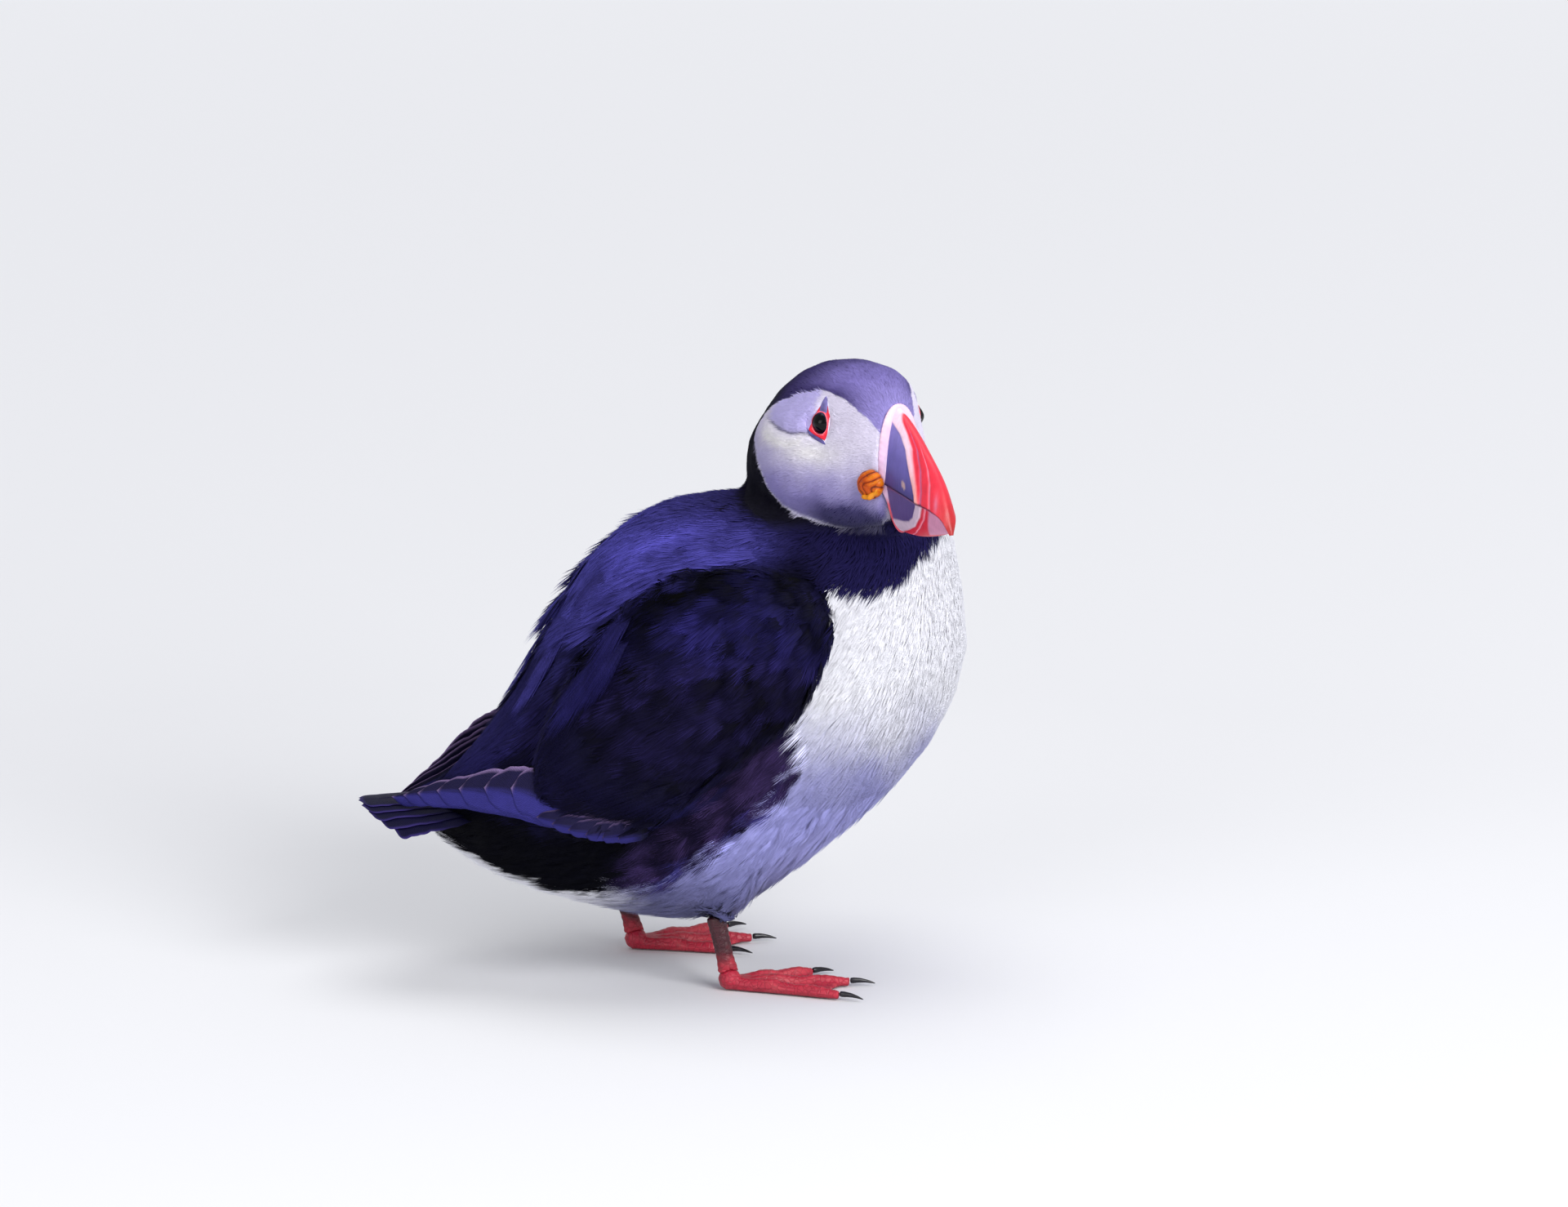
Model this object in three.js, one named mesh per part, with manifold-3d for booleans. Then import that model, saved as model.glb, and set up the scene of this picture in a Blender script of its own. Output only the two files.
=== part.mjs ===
// A life-size Atlantic puffin that stands on both webbed feet and looks over its right side.
// Millimetres. +X is the way the body faces, +Y the bird's left and +Z up. The floor is z = 0.
import * as THREE from 'three';
import { mergeVertices } from 'three/addons/utils/BufferGeometryUtils.js';
import Module from 'manifold-3d';

const wasm = await Module();
wasm.setup();

// ---------------------------------------------------------------- driving dimensions

const gap = 0.3; // clear space between two pieces that meet
const roundness = 2.2; // 2 is an ellipse, more is squarer
const fleshSides = 22;

// The head's own frame: +X out along the bill, +Y the bird's left, +Z up.
const headPlace = { x: 29, y: -8, z: 160.5 };
const headTurn = { yaw: -70, roll: -2 }; // degrees; a minus yaw looks to the bird's right
const cheekLevel = 0.38; // height of the head's widest place, as a share of its height
const crownPinch = 0.1; // how much narrower the head is at its top than at the cheeks
const eyeHollow = { depth: 1.9, along: 9, high: 8 }; // the shallow dip that the eye lies in

const eye = { x: 20.3, y: 16.9, z: 12.1, radius: 3.4, facing: 60 };
const eyeRing = { radius: 3.5, thickness: 0.65, forward: 2.5 };
const upperPlate = { width: 4.4, height: 5.2, thickness: 1.6, rise: 4.5, out: 0.1, lean: 24 };
const lowerPlate = { width: 7.4, height: -2.4, thickness: 1.6, rise: -4.5, out: 1.2, lean: -8 };
const rosette = { x: 39.4, y: 9.9, z: -3.4, radius: 4.1, thickness: 2.8, folds: 7 };

const billTip = { x: 72.2, z: -12.8 };
const rim = { topX: 37.4, topZ: 19.8, lowX: 42.2, lowZ: -17.4, halfWidth: 7.4, depth: 2.6 };
const grooves = [0.5, 0.66, 0.81]; // where furrows cross the horny part of the bill
const groove = { depth: 0.45, reach: 0.02 };

const wingThickness = 5.4;
const quillThickness = 2.6; // the stack of flight feathers in the folded wing's tip
const tail = {
  rootX: -74, tipX: -114.5, rootHalf: 11, tipHalf: 22, droop: 4, thickness: 1.8, feathers: 12,
};

const legs = {
  right: { hip: [-2, -20, 38], heel: [-9.5, -25.5, 19], toes: [-5.5, -26, 3.4], heading: -3 },
  left: { hip: [-20, 20, 38], heel: [-32, 25, 18.5], toes: [-27, 26, 3.4], heading: 4 },
};
const toe = { length: 36, radius: 2.1, spread: 26, webThickness: 1.3 };
const claw = { length: 7.5, radius: 1.15 };

const colours = {
  black: 0x1b1a33,
  white: 0xe9e7f5,
  red: 0xd9433f,
  orange: 0xe08a1c,
  slate: 0x565079,
  pale: 0xefd8dc,
  eye: 0x120d16,
  claw: 0x1a171c,
};

// ---------------------------------------------------------------- shape helpers

const degrees = Math.PI / 180;
const v3 = (x, y, z) => new THREE.Vector3(x, y, z);
const mix = (a, b, t) => a + (b - a) * t;
const power = (value, p) => Math.sign(value) * Math.abs(value) ** p;
const hump = (t) => Math.sqrt(Math.max(0, 1 - (2 * t - 1) ** 2)); // 0 at both ends, 1 between

// A smooth line through points (x, z) of the upright plane that splits the bird in two.
function midline(points) {
  return new THREE.CatmullRomCurve3(points.map(([x, z]) => v3(x, 0, z)));
}

// A smooth run of sizes, read from 0 to 1.
function sizes(values) {
  const line = new THREE.CatmullRomCurve3(values.map((value, i) => v3(i, value, 0)));
  return (t) => line.getPoint(t).y;
}

// A ring of points made by a function of the turn in radians.
function ringOf(sides, place) {
  return Array.from({ length: sides }, (_, j) => place((j / sides) * 2 * Math.PI));
}

// A closed body over a row of rings, with flat ends.
function skinOver(rings) {
  const sides = rings[0].length;
  const points = rings.flat();
  const faces = [];
  for (let i = 0; i + 1 < rings.length; i++) {
    for (let j = 0; j < sides; j++) {
      const a = i * sides + j;
      const b = i * sides + ((j + 1) % sides);
      faces.push(a, b, b + sides, a, b + sides, a + sides);
    }
  }
  for (const last of [false, true]) {
    const start = last ? (rings.length - 1) * sides : 0;
    const ring = rings[last ? rings.length - 1 : 0];
    const middle = ring.reduce((sum, p) => sum.add(p), v3(0, 0, 0)).divideScalar(sides);
    const centre = points.push(middle) - 1;
    for (let j = 0; j < sides; j++) {
      const a = start + j;
      const b = start + ((j + 1) % sides);
      faces.push(...(last ? [a, b, centre] : [b, a, centre]));
    }
  }
  return new THREE.BufferGeometry().setFromPoints(points).setIndex(faces);
}

// A geometry as a solid, its faces turned out.
function solid(geometry, matrix = new THREE.Matrix4()) {
  const bare = geometry.clone().applyMatrix4(matrix);
  bare.deleteAttribute('normal');
  bare.deleteAttribute('uv');
  const merged = mergeVertices(bare, 1e-4);
  const vertProperties = merged.attributes.position.array;
  const triVerts = new Uint32Array(merged.index.array);
  const made = new wasm.Manifold(new wasm.Mesh({ numProp: 3, vertProperties, triVerts }));
  if (made.volume() > 0) return made;
  for (let i = 0; i < triVerts.length; i += 3) {
    [triVerts[i], triVerts[i + 1]] = [triVerts[i + 1], triVerts[i]];
  }
  return new wasm.Manifold(new wasm.Mesh({ numProp: 3, vertProperties, triVerts }));
}

function geometryOf(made) {
  const { numProp, vertProperties, triVerts } = made.getMesh();
  const positions = new Float32Array((vertProperties.length / numProp) * 3);
  for (let i = 0; i < positions.length / 3; i++) {
    positions.set(vertProperties.subarray(i * numProp, i * numProp + 3), i * 3);
  }
  return new THREE.BufferGeometry()
    .setAttribute('position', new THREE.BufferAttribute(positions, 3))
    .setIndex(new THREE.BufferAttribute(triVerts, 1));
}

// The main body of a solid, without the crumbs that a cut can leave.
function mainBody(made) {
  return made.decompose().sort((a, b) => b.volume() - a.volume())[0];
}

const bird = new THREE.Group();

function add(name, made, colour, roughness = 0.8) {
  const material = new THREE.MeshStandardMaterial({ color: colours[colour], roughness, metalness: 0 });
  const mesh = new THREE.Mesh(geometryOf(mainBody(made)), material);
  mesh.name = name;
  bird.add(mesh);
}

// A tube with an oval section along a row of centres {at, wide, high}.
function ovalTube(centres, sides, up = v3(0, 0, 1)) {
  const rings = centres.map(({ at, wide, high }, i) => {
    const before = centres[Math.max(0, i - 1)].at;
    const after = centres[Math.min(centres.length - 1, i + 1)].at;
    const along = after.clone().sub(before).normalize();
    const across = along.clone().cross(up).normalize();
    const over = across.clone().cross(along);
    return ringOf(sides, (turn) =>
      at
        .clone()
        .addScaledVector(across, wide * Math.cos(turn))
        .addScaledVector(over, high * Math.sin(turn)),
    );
  });
  return skinOver(rings);
}

// ---------------------------------------------------------------- trunk

// Both lines run from the root of the tail to the foot of the neck.
const backLine = midline([
  [-93, 59], [-81, 70], [-67, 87.5], [-54.5, 111], [-39, 133.5], [-23, 143.8], [-9, 146.2], [3, 146],
]);
const bellyLine = midline([
  [-91, 43.5], [-74, 31.5], [-46, 22], [-8, 16], [27, 37], [56, 63.5], [71.2, 95.5], [67.3, 132],
]);
const trunkHalfWidth = sizes([8, 25, 37, 44, 46, 44.5, 40.5, 33]);

// A point on the trunk: t runs from tail to neck, turn from 0 at the left side over the back.
function onTrunk(t, turn, grow = 0) {
  const back = backLine.getPoint(t);
  const belly = bellyLine.getPoint(t);
  const up = back.clone().sub(belly);
  const halfHeight = up.length() / 2 + grow;
  const middle = back.add(belly).multiplyScalar(0.5);
  const across = (trunkHalfWidth(t) + grow) * power(Math.cos(turn), 2 / roundness);
  return middle
    .addScaledVector(up.normalize(), halfHeight * power(Math.sin(turn), 2 / roundness))
    .add(v3(0, across, 0));
}

function trunkShape(grow = 0) {
  const steps = 15;
  const rings = [];
  for (let i = 0; i <= steps; i++) {
    rings.push(ringOf(fleshSides, (turn) => onTrunk(i / steps, turn, grow)));
  }
  rings[0].forEach((p) => p.add(v3(-grow, 0, -grow)));
  return solid(skinOver(rings));
}

// The place on the trunk's side that is seen at x and z from straight beside the bird.
function seat(x, z) {
  const height = (t) => {
    const back = backLine.getPoint(t);
    const belly = bellyLine.getPoint(t);
    const up = back.sub(belly);
    return { side: up.z * (x - belly.x) - up.x * (z - belly.z), up, belly };
  };
  let [low, high] = [0, 1];
  for (let i = 0; i < 24; i++) {
    const t = (low + high) / 2;
    if (height(t).side > 0) low = t;
    else high = t;
  }
  const { up, belly } = height(low);
  const level = v3(x, 0, z).sub(belly).dot(up) / up.lengthSq();
  const sine = power(THREE.MathUtils.clamp(2 * level - 1, -1, 1), roundness / 2);
  return { t: low, turn: Math.asin(sine) };
}

// ---------------------------------------------------------------- head and neck

const headMatrix = new THREE.Matrix4()
  .makeTranslation(headPlace.x, headPlace.y, headPlace.z)
  .multiply(new THREE.Matrix4().makeRotationZ(headTurn.yaw * degrees))
  .multiply(new THREE.Matrix4().makeRotationX(headTurn.roll * degrees));

const crownLine = midline([
  [-20, 4], [-15.5, 17], [-4, 26], [8, 28.7], [21, 27.4], [31, 23.4], [37.4, 19.8],
]);
const throatLine = midline([
  [-20, -5], [-15.5, -15], [-4, -21.5], [9, -23.6], [22, -22.8], [33.5, -20.4], [42.2, -17.4],
]);
const crownRoundness = sizes([2.1, 2.1, 2.15, 2.35, 2.9, 2.9, 2.6]);
const headHalfWidth = sizes([5, 20, 26.4, 26, 20.6, 13.6, 7.8]);

function hollowAt({ x, z }) {
  const far = ((x - eye.x) / eyeHollow.along) ** 2 + ((z - eye.z) / eyeHollow.high) ** 2;
  return eyeHollow.depth * Math.exp(-far);
}

function headShape(grow = 0) {
  const steps = 14;
  const rings = [];
  for (let i = 0; i <= steps; i++) {
    const t = i / steps;
    const bottom = throatLine.getPoint(t);
    const up = crownLine.getPoint(t).sub(bottom);
    const height = up.length();
    up.normalize();
    const middle = bottom.addScaledVector(up, height * cheekLevel);
    const ring = ringOf(fleshSides, (turn) => {
      const above = Math.sin(turn) > 0;
      const bend = 2 / (above ? crownRoundness(t) : roundness);
      const level = power(Math.sin(turn), bend);
      const reach = height * (above ? 1 - cheekLevel : cheekLevel) + grow;
      const point = middle.clone().addScaledVector(up, reach * level);
      const pinch = above ? 1 - crownPinch * level : 1;
      const across = headHalfWidth(t) * pinch - hollowAt(point) + grow;
      return point.add(v3(0, across * power(Math.cos(turn), bend), 0));
    });
    rings.push(ring);
  }
  rings[0].forEach((p) => p.add(v3(-grow, 0, 0)));
  rings[steps].forEach((p) => p.add(v3(grow, 0, 0)));
  return solid(skinOver(rings), headMatrix);
}

const napeLine = midline([[3, 146], [2.6, 154], [4.5, 164], [12, 176]]);
const foreneckLine = midline([[67.3, 132], [64, 140.5], [57, 149], [48, 158]]);
const neckHalfWidth = sizes([33, 31.5, 28, 21]);
const neckLean = -5; // how far the neck's top leans to the side that the head looks to

function neckShape() {
  const steps = 5;
  const rings = [];
  for (let i = 0; i <= steps; i++) {
    const t = i / steps;
    const back = napeLine.getPoint(t);
    const front = foreneckLine.getPoint(t);
    const reach = front.clone().sub(back).multiplyScalar(0.5);
    const middle = back.add(front).multiplyScalar(0.5).add(v3(0, neckLean * t * t, 0));
    if (i === 0) middle.add(v3(gap * 0.3, 0, gap));
    const ring = ringOf(fleshSides, (turn) =>
      middle
        .clone()
        .addScaledVector(reach, -power(Math.sin(turn), 2 / roundness))
        .add(v3(0, neckHalfWidth(t) * power(Math.cos(turn), 2 / roundness), 0)),
    );
    rings.push(ring);
  }
  return solid(skinOver(rings));
}

// ---------------------------------------------------------------- bill

const culmenLine = midline([
  [37.6, 19], [45.5, 15], [54.5, 9.3], [63, 2.9], [68.6, -4.8], [billTip.x, billTip.z],
]);
const mouthLine = midline([
  [42.6, -3], [51, -4.3], [59, -5.8], [65.5, -6.9], [69.6, -9], [billTip.x - 0.6, billTip.z - 0.3],
]);
const gonysLine = midline([[42.4, -17.2], [52, -16.9], [61.8, -15.2], [69, -13.2]]);
const upperHalfWidth = sizes([6.9, 6.2, 5.1, 3.9, 2.4, 0.7]);
const lowerHalfWidth = sizes([6.2, 5.2, 3.7, 1.2]);

const furrow = (t) =>
  grooves.reduce((sum, at) => sum + groove.depth * Math.exp(-(((t - at) / groove.reach) ** 2)), 0);

// Stations along the bill, closer together where a furrow crosses it.
const billStations = [0, 0.12, 0.25, 0.38]
  .concat(grooves.flatMap((at) => [at - 0.04, at, at + 0.04]))
  .concat([0.93, 1]);

// One half of the bill, thin along its ridge and flat where the halves close.
function billShape(ridge, mouth, halfWidth) {
  const levels = [0, 0.12, 0.4, 0.7, 0.92, 1];
  const rings = billStations.map((t) => {
    const edge = mouth(t);
    const up = ridge(t).sub(edge);
    const wide = halfWidth(t) - Math.min(furrow(t), halfWidth(t) / 3);
    const flank = (side) => (level) => {
      const across = side * wide * (1 - 0.5 * level) * (1 - level ** 4) ** 0.5;
      return edge.clone().addScaledVector(up, level).add(v3(0, across || side * 0.2, 0));
    };
    return [...levels.map(flank(-1)), ...levels.map(flank(1)).reverse()];
  });
  return solid(skinOver(rings), headMatrix);
}

// The fleshy rim round the foot of the bill: an oval plate with the head behind it.
function rimShape(grow = 0) {
  const top = v3(rim.topX, 0, rim.topZ);
  const bottom = v3(rim.lowX, 0, rim.lowZ);
  const height = top.distanceTo(bottom);
  const up = top.clone().sub(bottom).normalize();
  const profile = [
    { forward: -0.6 - grow, swell: 0.2 },
    { forward: 0.7, swell: 1.0 },
    { forward: rim.depth - 0.7, swell: 0.9 },
    { forward: rim.depth + grow, swell: 0 },
  ];
  const rings = profile.map(({ forward, swell }) => {
    const middle = bottom.clone().lerp(top, 0.42).add(v3(forward, 0, 0));
    return ringOf(24, (turn) => {
      const reach = height * (Math.sin(turn) > 0 ? 0.58 : 0.42) + swell + grow;
      const across = (rim.halfWidth + swell + grow) * power(Math.cos(turn), 0.9);
      return middle
        .clone()
        .addScaledVector(up, reach * power(Math.sin(turn), 0.95))
        .add(v3(0, across, 0));
    });
  });
  return solid(skinOver(rings), headMatrix);
}

// ---------------------------------------------------------------- eyes and face

// Puts a shape made flat, facing +Z with +Y as its top, on a cheek so that it faces outward.
function onCheek(side, { x, y, z }, forward, facing, geometry) {
  const outward = new THREE.Matrix4()
    .makeRotationZ((side > 0 ? facing : -facing) * degrees)
    .multiply(new THREE.Matrix4().makeRotationY(Math.PI / 2))
    .multiply(new THREE.Matrix4().makeRotationZ(Math.PI / 2))
    .multiply(new THREE.Matrix4().makeTranslation(0, 0, forward));
  const place = new THREE.Matrix4().makeTranslation(x, side * y, z).multiply(outward);
  return solid(geometry, headMatrix.clone().multiply(place));
}

const eyeCentre = {
  x: eye.x - (eye.radius - 1) * Math.cos(eye.facing * degrees),
  y: eye.y - (eye.radius - 1) * Math.sin(eye.facing * degrees),
  z: eye.z,
};

function eyeballShape(side, grow = 0) {
  return onCheek(side, eyeCentre, 0, eye.facing, new THREE.SphereGeometry(eye.radius + grow, 14, 9));
}

function eyeRingShape(side, grow = 0) {
  const ring = new THREE.TorusGeometry(eyeRing.radius, eyeRing.thickness + grow, 6, 16);
  return onCheek(side, eyeCentre, eyeRing.forward, eye.facing, ring);
}

// The round hollow in the head that the eye and its ring lie in.
function socketShape(side) {
  const outer = Math.hypot(eyeRing.radius + eyeRing.thickness, eyeRing.forward) + gap;
  return onCheek(side, eyeCentre, 0, eye.facing, new THREE.SphereGeometry(outer, 14, 9));
}

// A horn plate with three corners, above the eye or, with a minus height, below it.
function eyePlateShape(side, plate, grow = 0) {
  const half = plate.width / 2 + grow;
  const point = plate.height + grow * Math.sign(plate.height) * 2;
  const base = -grow * Math.sign(plate.height);
  const outline = new THREE.Shape();
  outline.moveTo(-half, base);
  outline.lineTo(half, base);
  outline.quadraticCurveTo(half * 0.45, point * 0.6, 0, point);
  outline.quadraticCurveTo(-half * 0.45, point * 0.6, -half, base);
  const depth = plate.thickness + grow;
  const body = new THREE.ExtrudeGeometry(outline, { depth, bevelEnabled: false, curveSegments: 3 });
  body.translate(0, 0, -plate.thickness).rotateX(-plate.lean * degrees);
  const place = { ...eyeCentre, z: eye.z + plate.rise };
  return onCheek(side, place, eyeRing.forward + plate.out, eye.facing, body);
}

function rosetteShape(side, grow = 0) {
  const cushion = new THREE.SphereGeometry(1, 14, 7);
  const points = cushion.attributes.position;
  for (let i = 0; i < points.count; i++) {
    const [x, y] = [points.getX(i), points.getY(i)];
    const fold = 1 + 0.09 * Math.cos(rosette.folds * Math.atan2(y, x)) * Math.hypot(x, y) ** 2;
    const size = rosette.radius * fold + grow;
    points.setXYZ(i, x * size, y * size * 1.08, points.getZ(i) * (rosette.thickness + grow));
  }
  return onCheek(side, rosette, 0, 62, cushion);
}

// ---------------------------------------------------------------- wings

// The folded wing's shield of coverts, its upper and lower edge from the bend to its rear end.
const shieldTop = midline([
  [24.5, 118], [18, 127], [6, 130.5], [-10, 131], [-28, 125.5], [-43, 112], [-55, 95], [-63, 79], [-66, 66],
]);
const shieldBottom = midline([
  [24.5, 114], [21, 103], [13, 87.5], [-4, 75.5], [-20, 63.5], [-35, 54], [-51, 51], [-62, 53.5], [-66, 62],
]);

function shieldShape(side, grow = 0) {
  const steps = 14;
  const across = 8;
  const rings = [];
  for (let i = 0; i <= steps; i++) {
    const u = i / steps;
    const top = shieldTop.getPoint(u);
    const bottom = shieldBottom.getPoint(u);
    const reach = grow / top.distanceTo(bottom);
    const bulge = wingThickness * (0.3 + 0.7 * hump(mix(0.08, 0.92, u)));
    const outer = [];
    const inner = [];
    for (let j = 0; j <= across; j++) {
      const v = mix(-reach, 1 + reach, j / across);
      const place = bottom.clone().lerp(top, v);
      const { t, turn } = seat(place.x, place.z);
      const angle = side > 0 ? turn : Math.PI - turn;
      const thick = 0.8 + bulge * hump(mix(0.03, 0.97, j / across));
      outer.push(onTrunk(t, angle, gap + thick + grow));
      inner.push(onTrunk(t, angle, gap + 0.15 - grow));
    }
    rings.push([...outer, ...inner.reverse()]);
  }
  rings[0].forEach((p) => p.add(v3(grow, 0, 0)));
  rings[steps].forEach((p) => p.add(v3(-grow, 0, 0)));
  return solid(skinOver(rings));
}

// The stack of long quills that runs from under the shield past the rump, beside the tail. Its
// upper edge leans over the rump by so many radians.
const quillRuns = {
  right: {
    line: [[-30, -42.5, 60], [-50, -40.5, 60.5], [-70, -32, 62.5], [-88, -19.5, 60.5], [-105, -7.5, 57.5]],
    halfHeight: sizes([7, 10.5, 11.5, 8.2, 1.4]),
    lean: sizes([0.1, 0.2, 0.42, 0.6, 0.7]),
  },
  left: {
    line: [[-30, 42.5, 64], [-50, 42, 66.5], [-70, 37.5, 63], [-88, 28.5, 54], [-104, 18, 48.6]],
    halfHeight: sizes([7, 12, 12.2, 8.6, 1.4]),
    lean: sizes([0.1, 0.12, 0.16, 0.24, 0.3]),
  },
};

function quillShape(label) {
  const steps = 10;
  const { line, halfHeight, lean } = quillRuns[label];
  const run = new THREE.CatmullRomCurve3(line.map(([x, y, z]) => v3(x, y, z)));
  const side = label === 'left' ? 1 : -1;
  const rings = [];
  for (let i = 0; i <= steps; i++) {
    const t = i / steps;
    const middle = run.getPoint(t);
    const along = run.getTangent(t);
    const up = v3(0, -side * Math.sin(lean(t)), Math.cos(lean(t)));
    up.addScaledVector(along, -up.dot(along)).normalize();
    const out = along.cross(up).normalize().multiplyScalar(side);
    const thick = (quillThickness / 2) * (1 - 0.5 * t);
    const ring = ringOf(12, (turn) => {
      const level = power(Math.sin(turn), 0.8);
      return middle
        .clone()
        .addScaledVector(up, halfHeight(t) * level)
        .addScaledVector(out, thick * Math.cos(turn) - 1.6 * level ** 2);
    });
    rings.push(ring);
  }
  return solid(skinOver(rings));
}

// ---------------------------------------------------------------- tail

// The fan is a low roof of feathers with rounded tips, highest along its middle.
function tailShape(grow = 0) {
  const steps = 4;
  const perFeather = 3;
  const across = tail.feathers * perFeather;
  const rings = [];
  for (let i = 0; i <= steps; i++) {
    const t = i / steps;
    const top = [];
    for (let j = 0; j <= across; j++) {
      const s = (j / across) * 2 - 1;
      const notch = 1 - Math.abs(Math.sin((j / perFeather) * Math.PI)) ** 0.6;
      const reach = t * (1 - 0.17 * s * s - 0.045 * notch * t ** 3);
      const x = mix(tail.rootX, tail.tipX, reach) - grow * t;
      const half = mix(tail.rootHalf, tail.tipHalf, t ** 0.8) + grow;
      const roof = mix(57.5, 55, t) - tail.droop * s * s - 0.4 * notch * t;
      top.push(v3(x, s * half, roof + grow));
    }
    const thick = mix(tail.thickness * 2.4, tail.thickness * 0.6, t) + 2 * grow;
    rings.push([...top, ...top.map((p) => p.clone().add(v3(0, 0, -thick))).reverse()]);
  }
  return solid(skinOver(rings));
}

// ---------------------------------------------------------------- legs and feet

// A feathered thigh that hangs from the belly to the top of the bare leg.
function thighShape({ hip, heel }, grow = 0) {
  const top = v3(...hip);
  const bottom = v3(...heel);
  const centres = [0.55, 0.95, 1, 0.84, 0.56, 0.34].map((size, i) => ({
    at: top.clone().lerp(bottom, i / 5),
    wide: 11 * size + grow,
    high: 9.5 * size + grow,
  }));
  centres[5].at.z -= grow;
  return solid(ovalTube(centres, 16, v3(1, 0, 0)));
}

function tarsusShape({ heel, toes }, grow = 0) {
  const top = v3(...heel).add(v3(0, 0, 3));
  const bottom = v3(...toes);
  const centres = [1.1, 0.98, 0.95, 1.2].map((size, i) => ({
    at: top.clone().lerp(bottom, i / 3),
    wide: 2.1 * size + grow,
    high: 2.7 * size + grow,
  }));
  centres[0].at.z += grow;
  return solid(ovalTube(centres, 10, v3(1, 0, 0)));
}

const toeAngles = [-toe.spread, 0, toe.spread];

// The middle and the outer toe are long and the inner one is shorter.
function toeLength(label, index) {
  const inner = label === 'left' ? 0 : 2;
  return index === inner ? toe.length * 0.8 : toe.length * (index === 1 ? 1 : 0.97);
}

function toePoint(angle, reach, height) {
  return v3(reach * Math.cos(angle * degrees), reach * Math.sin(angle * degrees), height);
}

function footFrame(label) {
  const [x, y] = legs[label].toes;
  return new THREE.Matrix4()
    .makeTranslation(x, y, 0)
    .multiply(new THREE.Matrix4().makeRotationZ(legs[label].heading * degrees));
}

function heelPad(grow = 0) {
  return new THREE.SphereGeometry(3.5 + grow, 10, 7).translate(0, 0, 2.9);
}

function webShape(label) {
  const tips = toeAngles.map((angle, i) => toePoint(angle, toeLength(label, i) * 0.94, 0));
  const outline = new THREE.Shape();
  outline.moveTo(-1.5, -1.5);
  outline.lineTo(tips[0].x, tips[0].y);
  for (let i = 0; i < 2; i++) {
    const hollow = tips[i].clone().lerp(tips[i + 1], 0.5).multiplyScalar(0.88);
    outline.quadraticCurveTo(hollow.x, hollow.y, tips[i + 1].x, tips[i + 1].y);
  }
  outline.lineTo(-1.5, 1.5);
  const depth = toe.webThickness;
  return new THREE.ExtrudeGeometry(outline, { depth, bevelEnabled: false, curveSegments: 6 });
}

function footShape(label) {
  const frame = footFrame(label);
  let made = solid(heelPad(), frame).add(solid(webShape(label), frame));
  toeAngles.forEach((angle, i) => {
    const centres = [1.15, 1.0, 1.1, 0.84, 0.92, 0.6].map((size, k) => ({
      at: toePoint(angle, (toeLength(label, i) * k) / 5, toe.radius * size * 0.8),
      wide: toe.radius * size,
      high: toe.radius * size,
    }));
    made = made.add(solid(ovalTube(centres, 6), frame));
  });
  const underFloor = new THREE.BoxGeometry(200, 200, 20).translate(0, 0, -10);
  return made.subtract(solid(underFloor));
}

function clawShape(label, index) {
  const start = toeLength(label, index) + gap;
  const centres = [0, 0.35, 0.7, 1].map((t) => ({
    at: toePoint(toeAngles[index], start + claw.length * t, 1.5 + 0.9 * t - 1.9 * t * t),
    wide: mix(claw.radius, 0.18, t ** 1.3) * 0.85,
    high: mix(claw.radius, 0.18, t ** 1.3),
  }));
  return solid(ovalTube(centres, 6), footFrame(label));
}

// ---------------------------------------------------------------- the bird, piece by piece

const clearOfTrunk = trunkShape(gap);
const clearOfHead = headShape(gap);
add('trunk', trunkShape().subtract(clearOfHead), 'black');
add('neck', neckShape().subtract(clearOfHead), 'black');
add('tail', tailShape().subtract(clearOfTrunk), 'black');

for (const [label, side] of [['left', 1], ['right', -1]]) {
  add(`wing_${label}`, shieldShape(side), 'black');
  const quills = quillShape(label)
    .subtract(clearOfTrunk)
    .subtract(shieldShape(side, 1.5 * gap))
    .subtract(tailShape(gap));
  add(`quills_${label}`, quills, 'black', 0.6);
}

const clearOfRim = rimShape(gap);
const upperBill = billShape((t) => culmenLine.getPoint(t), (t) => mouthLine.getPoint(t), upperHalfWidth);
const belowMouth = (t) => mouthLine.getPoint(t * 0.93).add(v3(0, 0, -gap));
const lowerBill = billShape((t) => gonysLine.getPoint(t), belowMouth, lowerHalfWidth);

let head = headShape();
for (const [label, side] of [['left', 1], ['right', -1]]) {
  const sockets = [socketShape(side), rosetteShape(side, gap)];
  add(`eye_${label}`, eyeballShape(side), 'eye', 0.05);
  add(`eye_ring_${label}`, eyeRingShape(side), 'red', 0.5);
  for (const [place, plate] of [['upper', upperPlate], ['lower', lowerPlate]]) {
    const horn = eyePlateShape(side, plate).subtract(eyeRingShape(side, gap));
    add(`eye_plate_${place}_${label}`, horn, 'slate', 0.5);
    sockets.push(eyePlateShape(side, plate, gap));
  }
  add(`rosette_${label}`, rosetteShape(side).subtract(clearOfRim), 'orange', 0.5);
  head = sockets.reduce((made, socket) => made.subtract(socket), head);
}
add('head', head, 'white');
add('bill_rim', rimShape().subtract(clearOfHead), 'pale', 0.5);
add('bill_upper', upperBill.subtract(clearOfRim), 'red', 0.4);
add('bill_lower', lowerBill.subtract(clearOfRim), 'red', 0.4);

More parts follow.
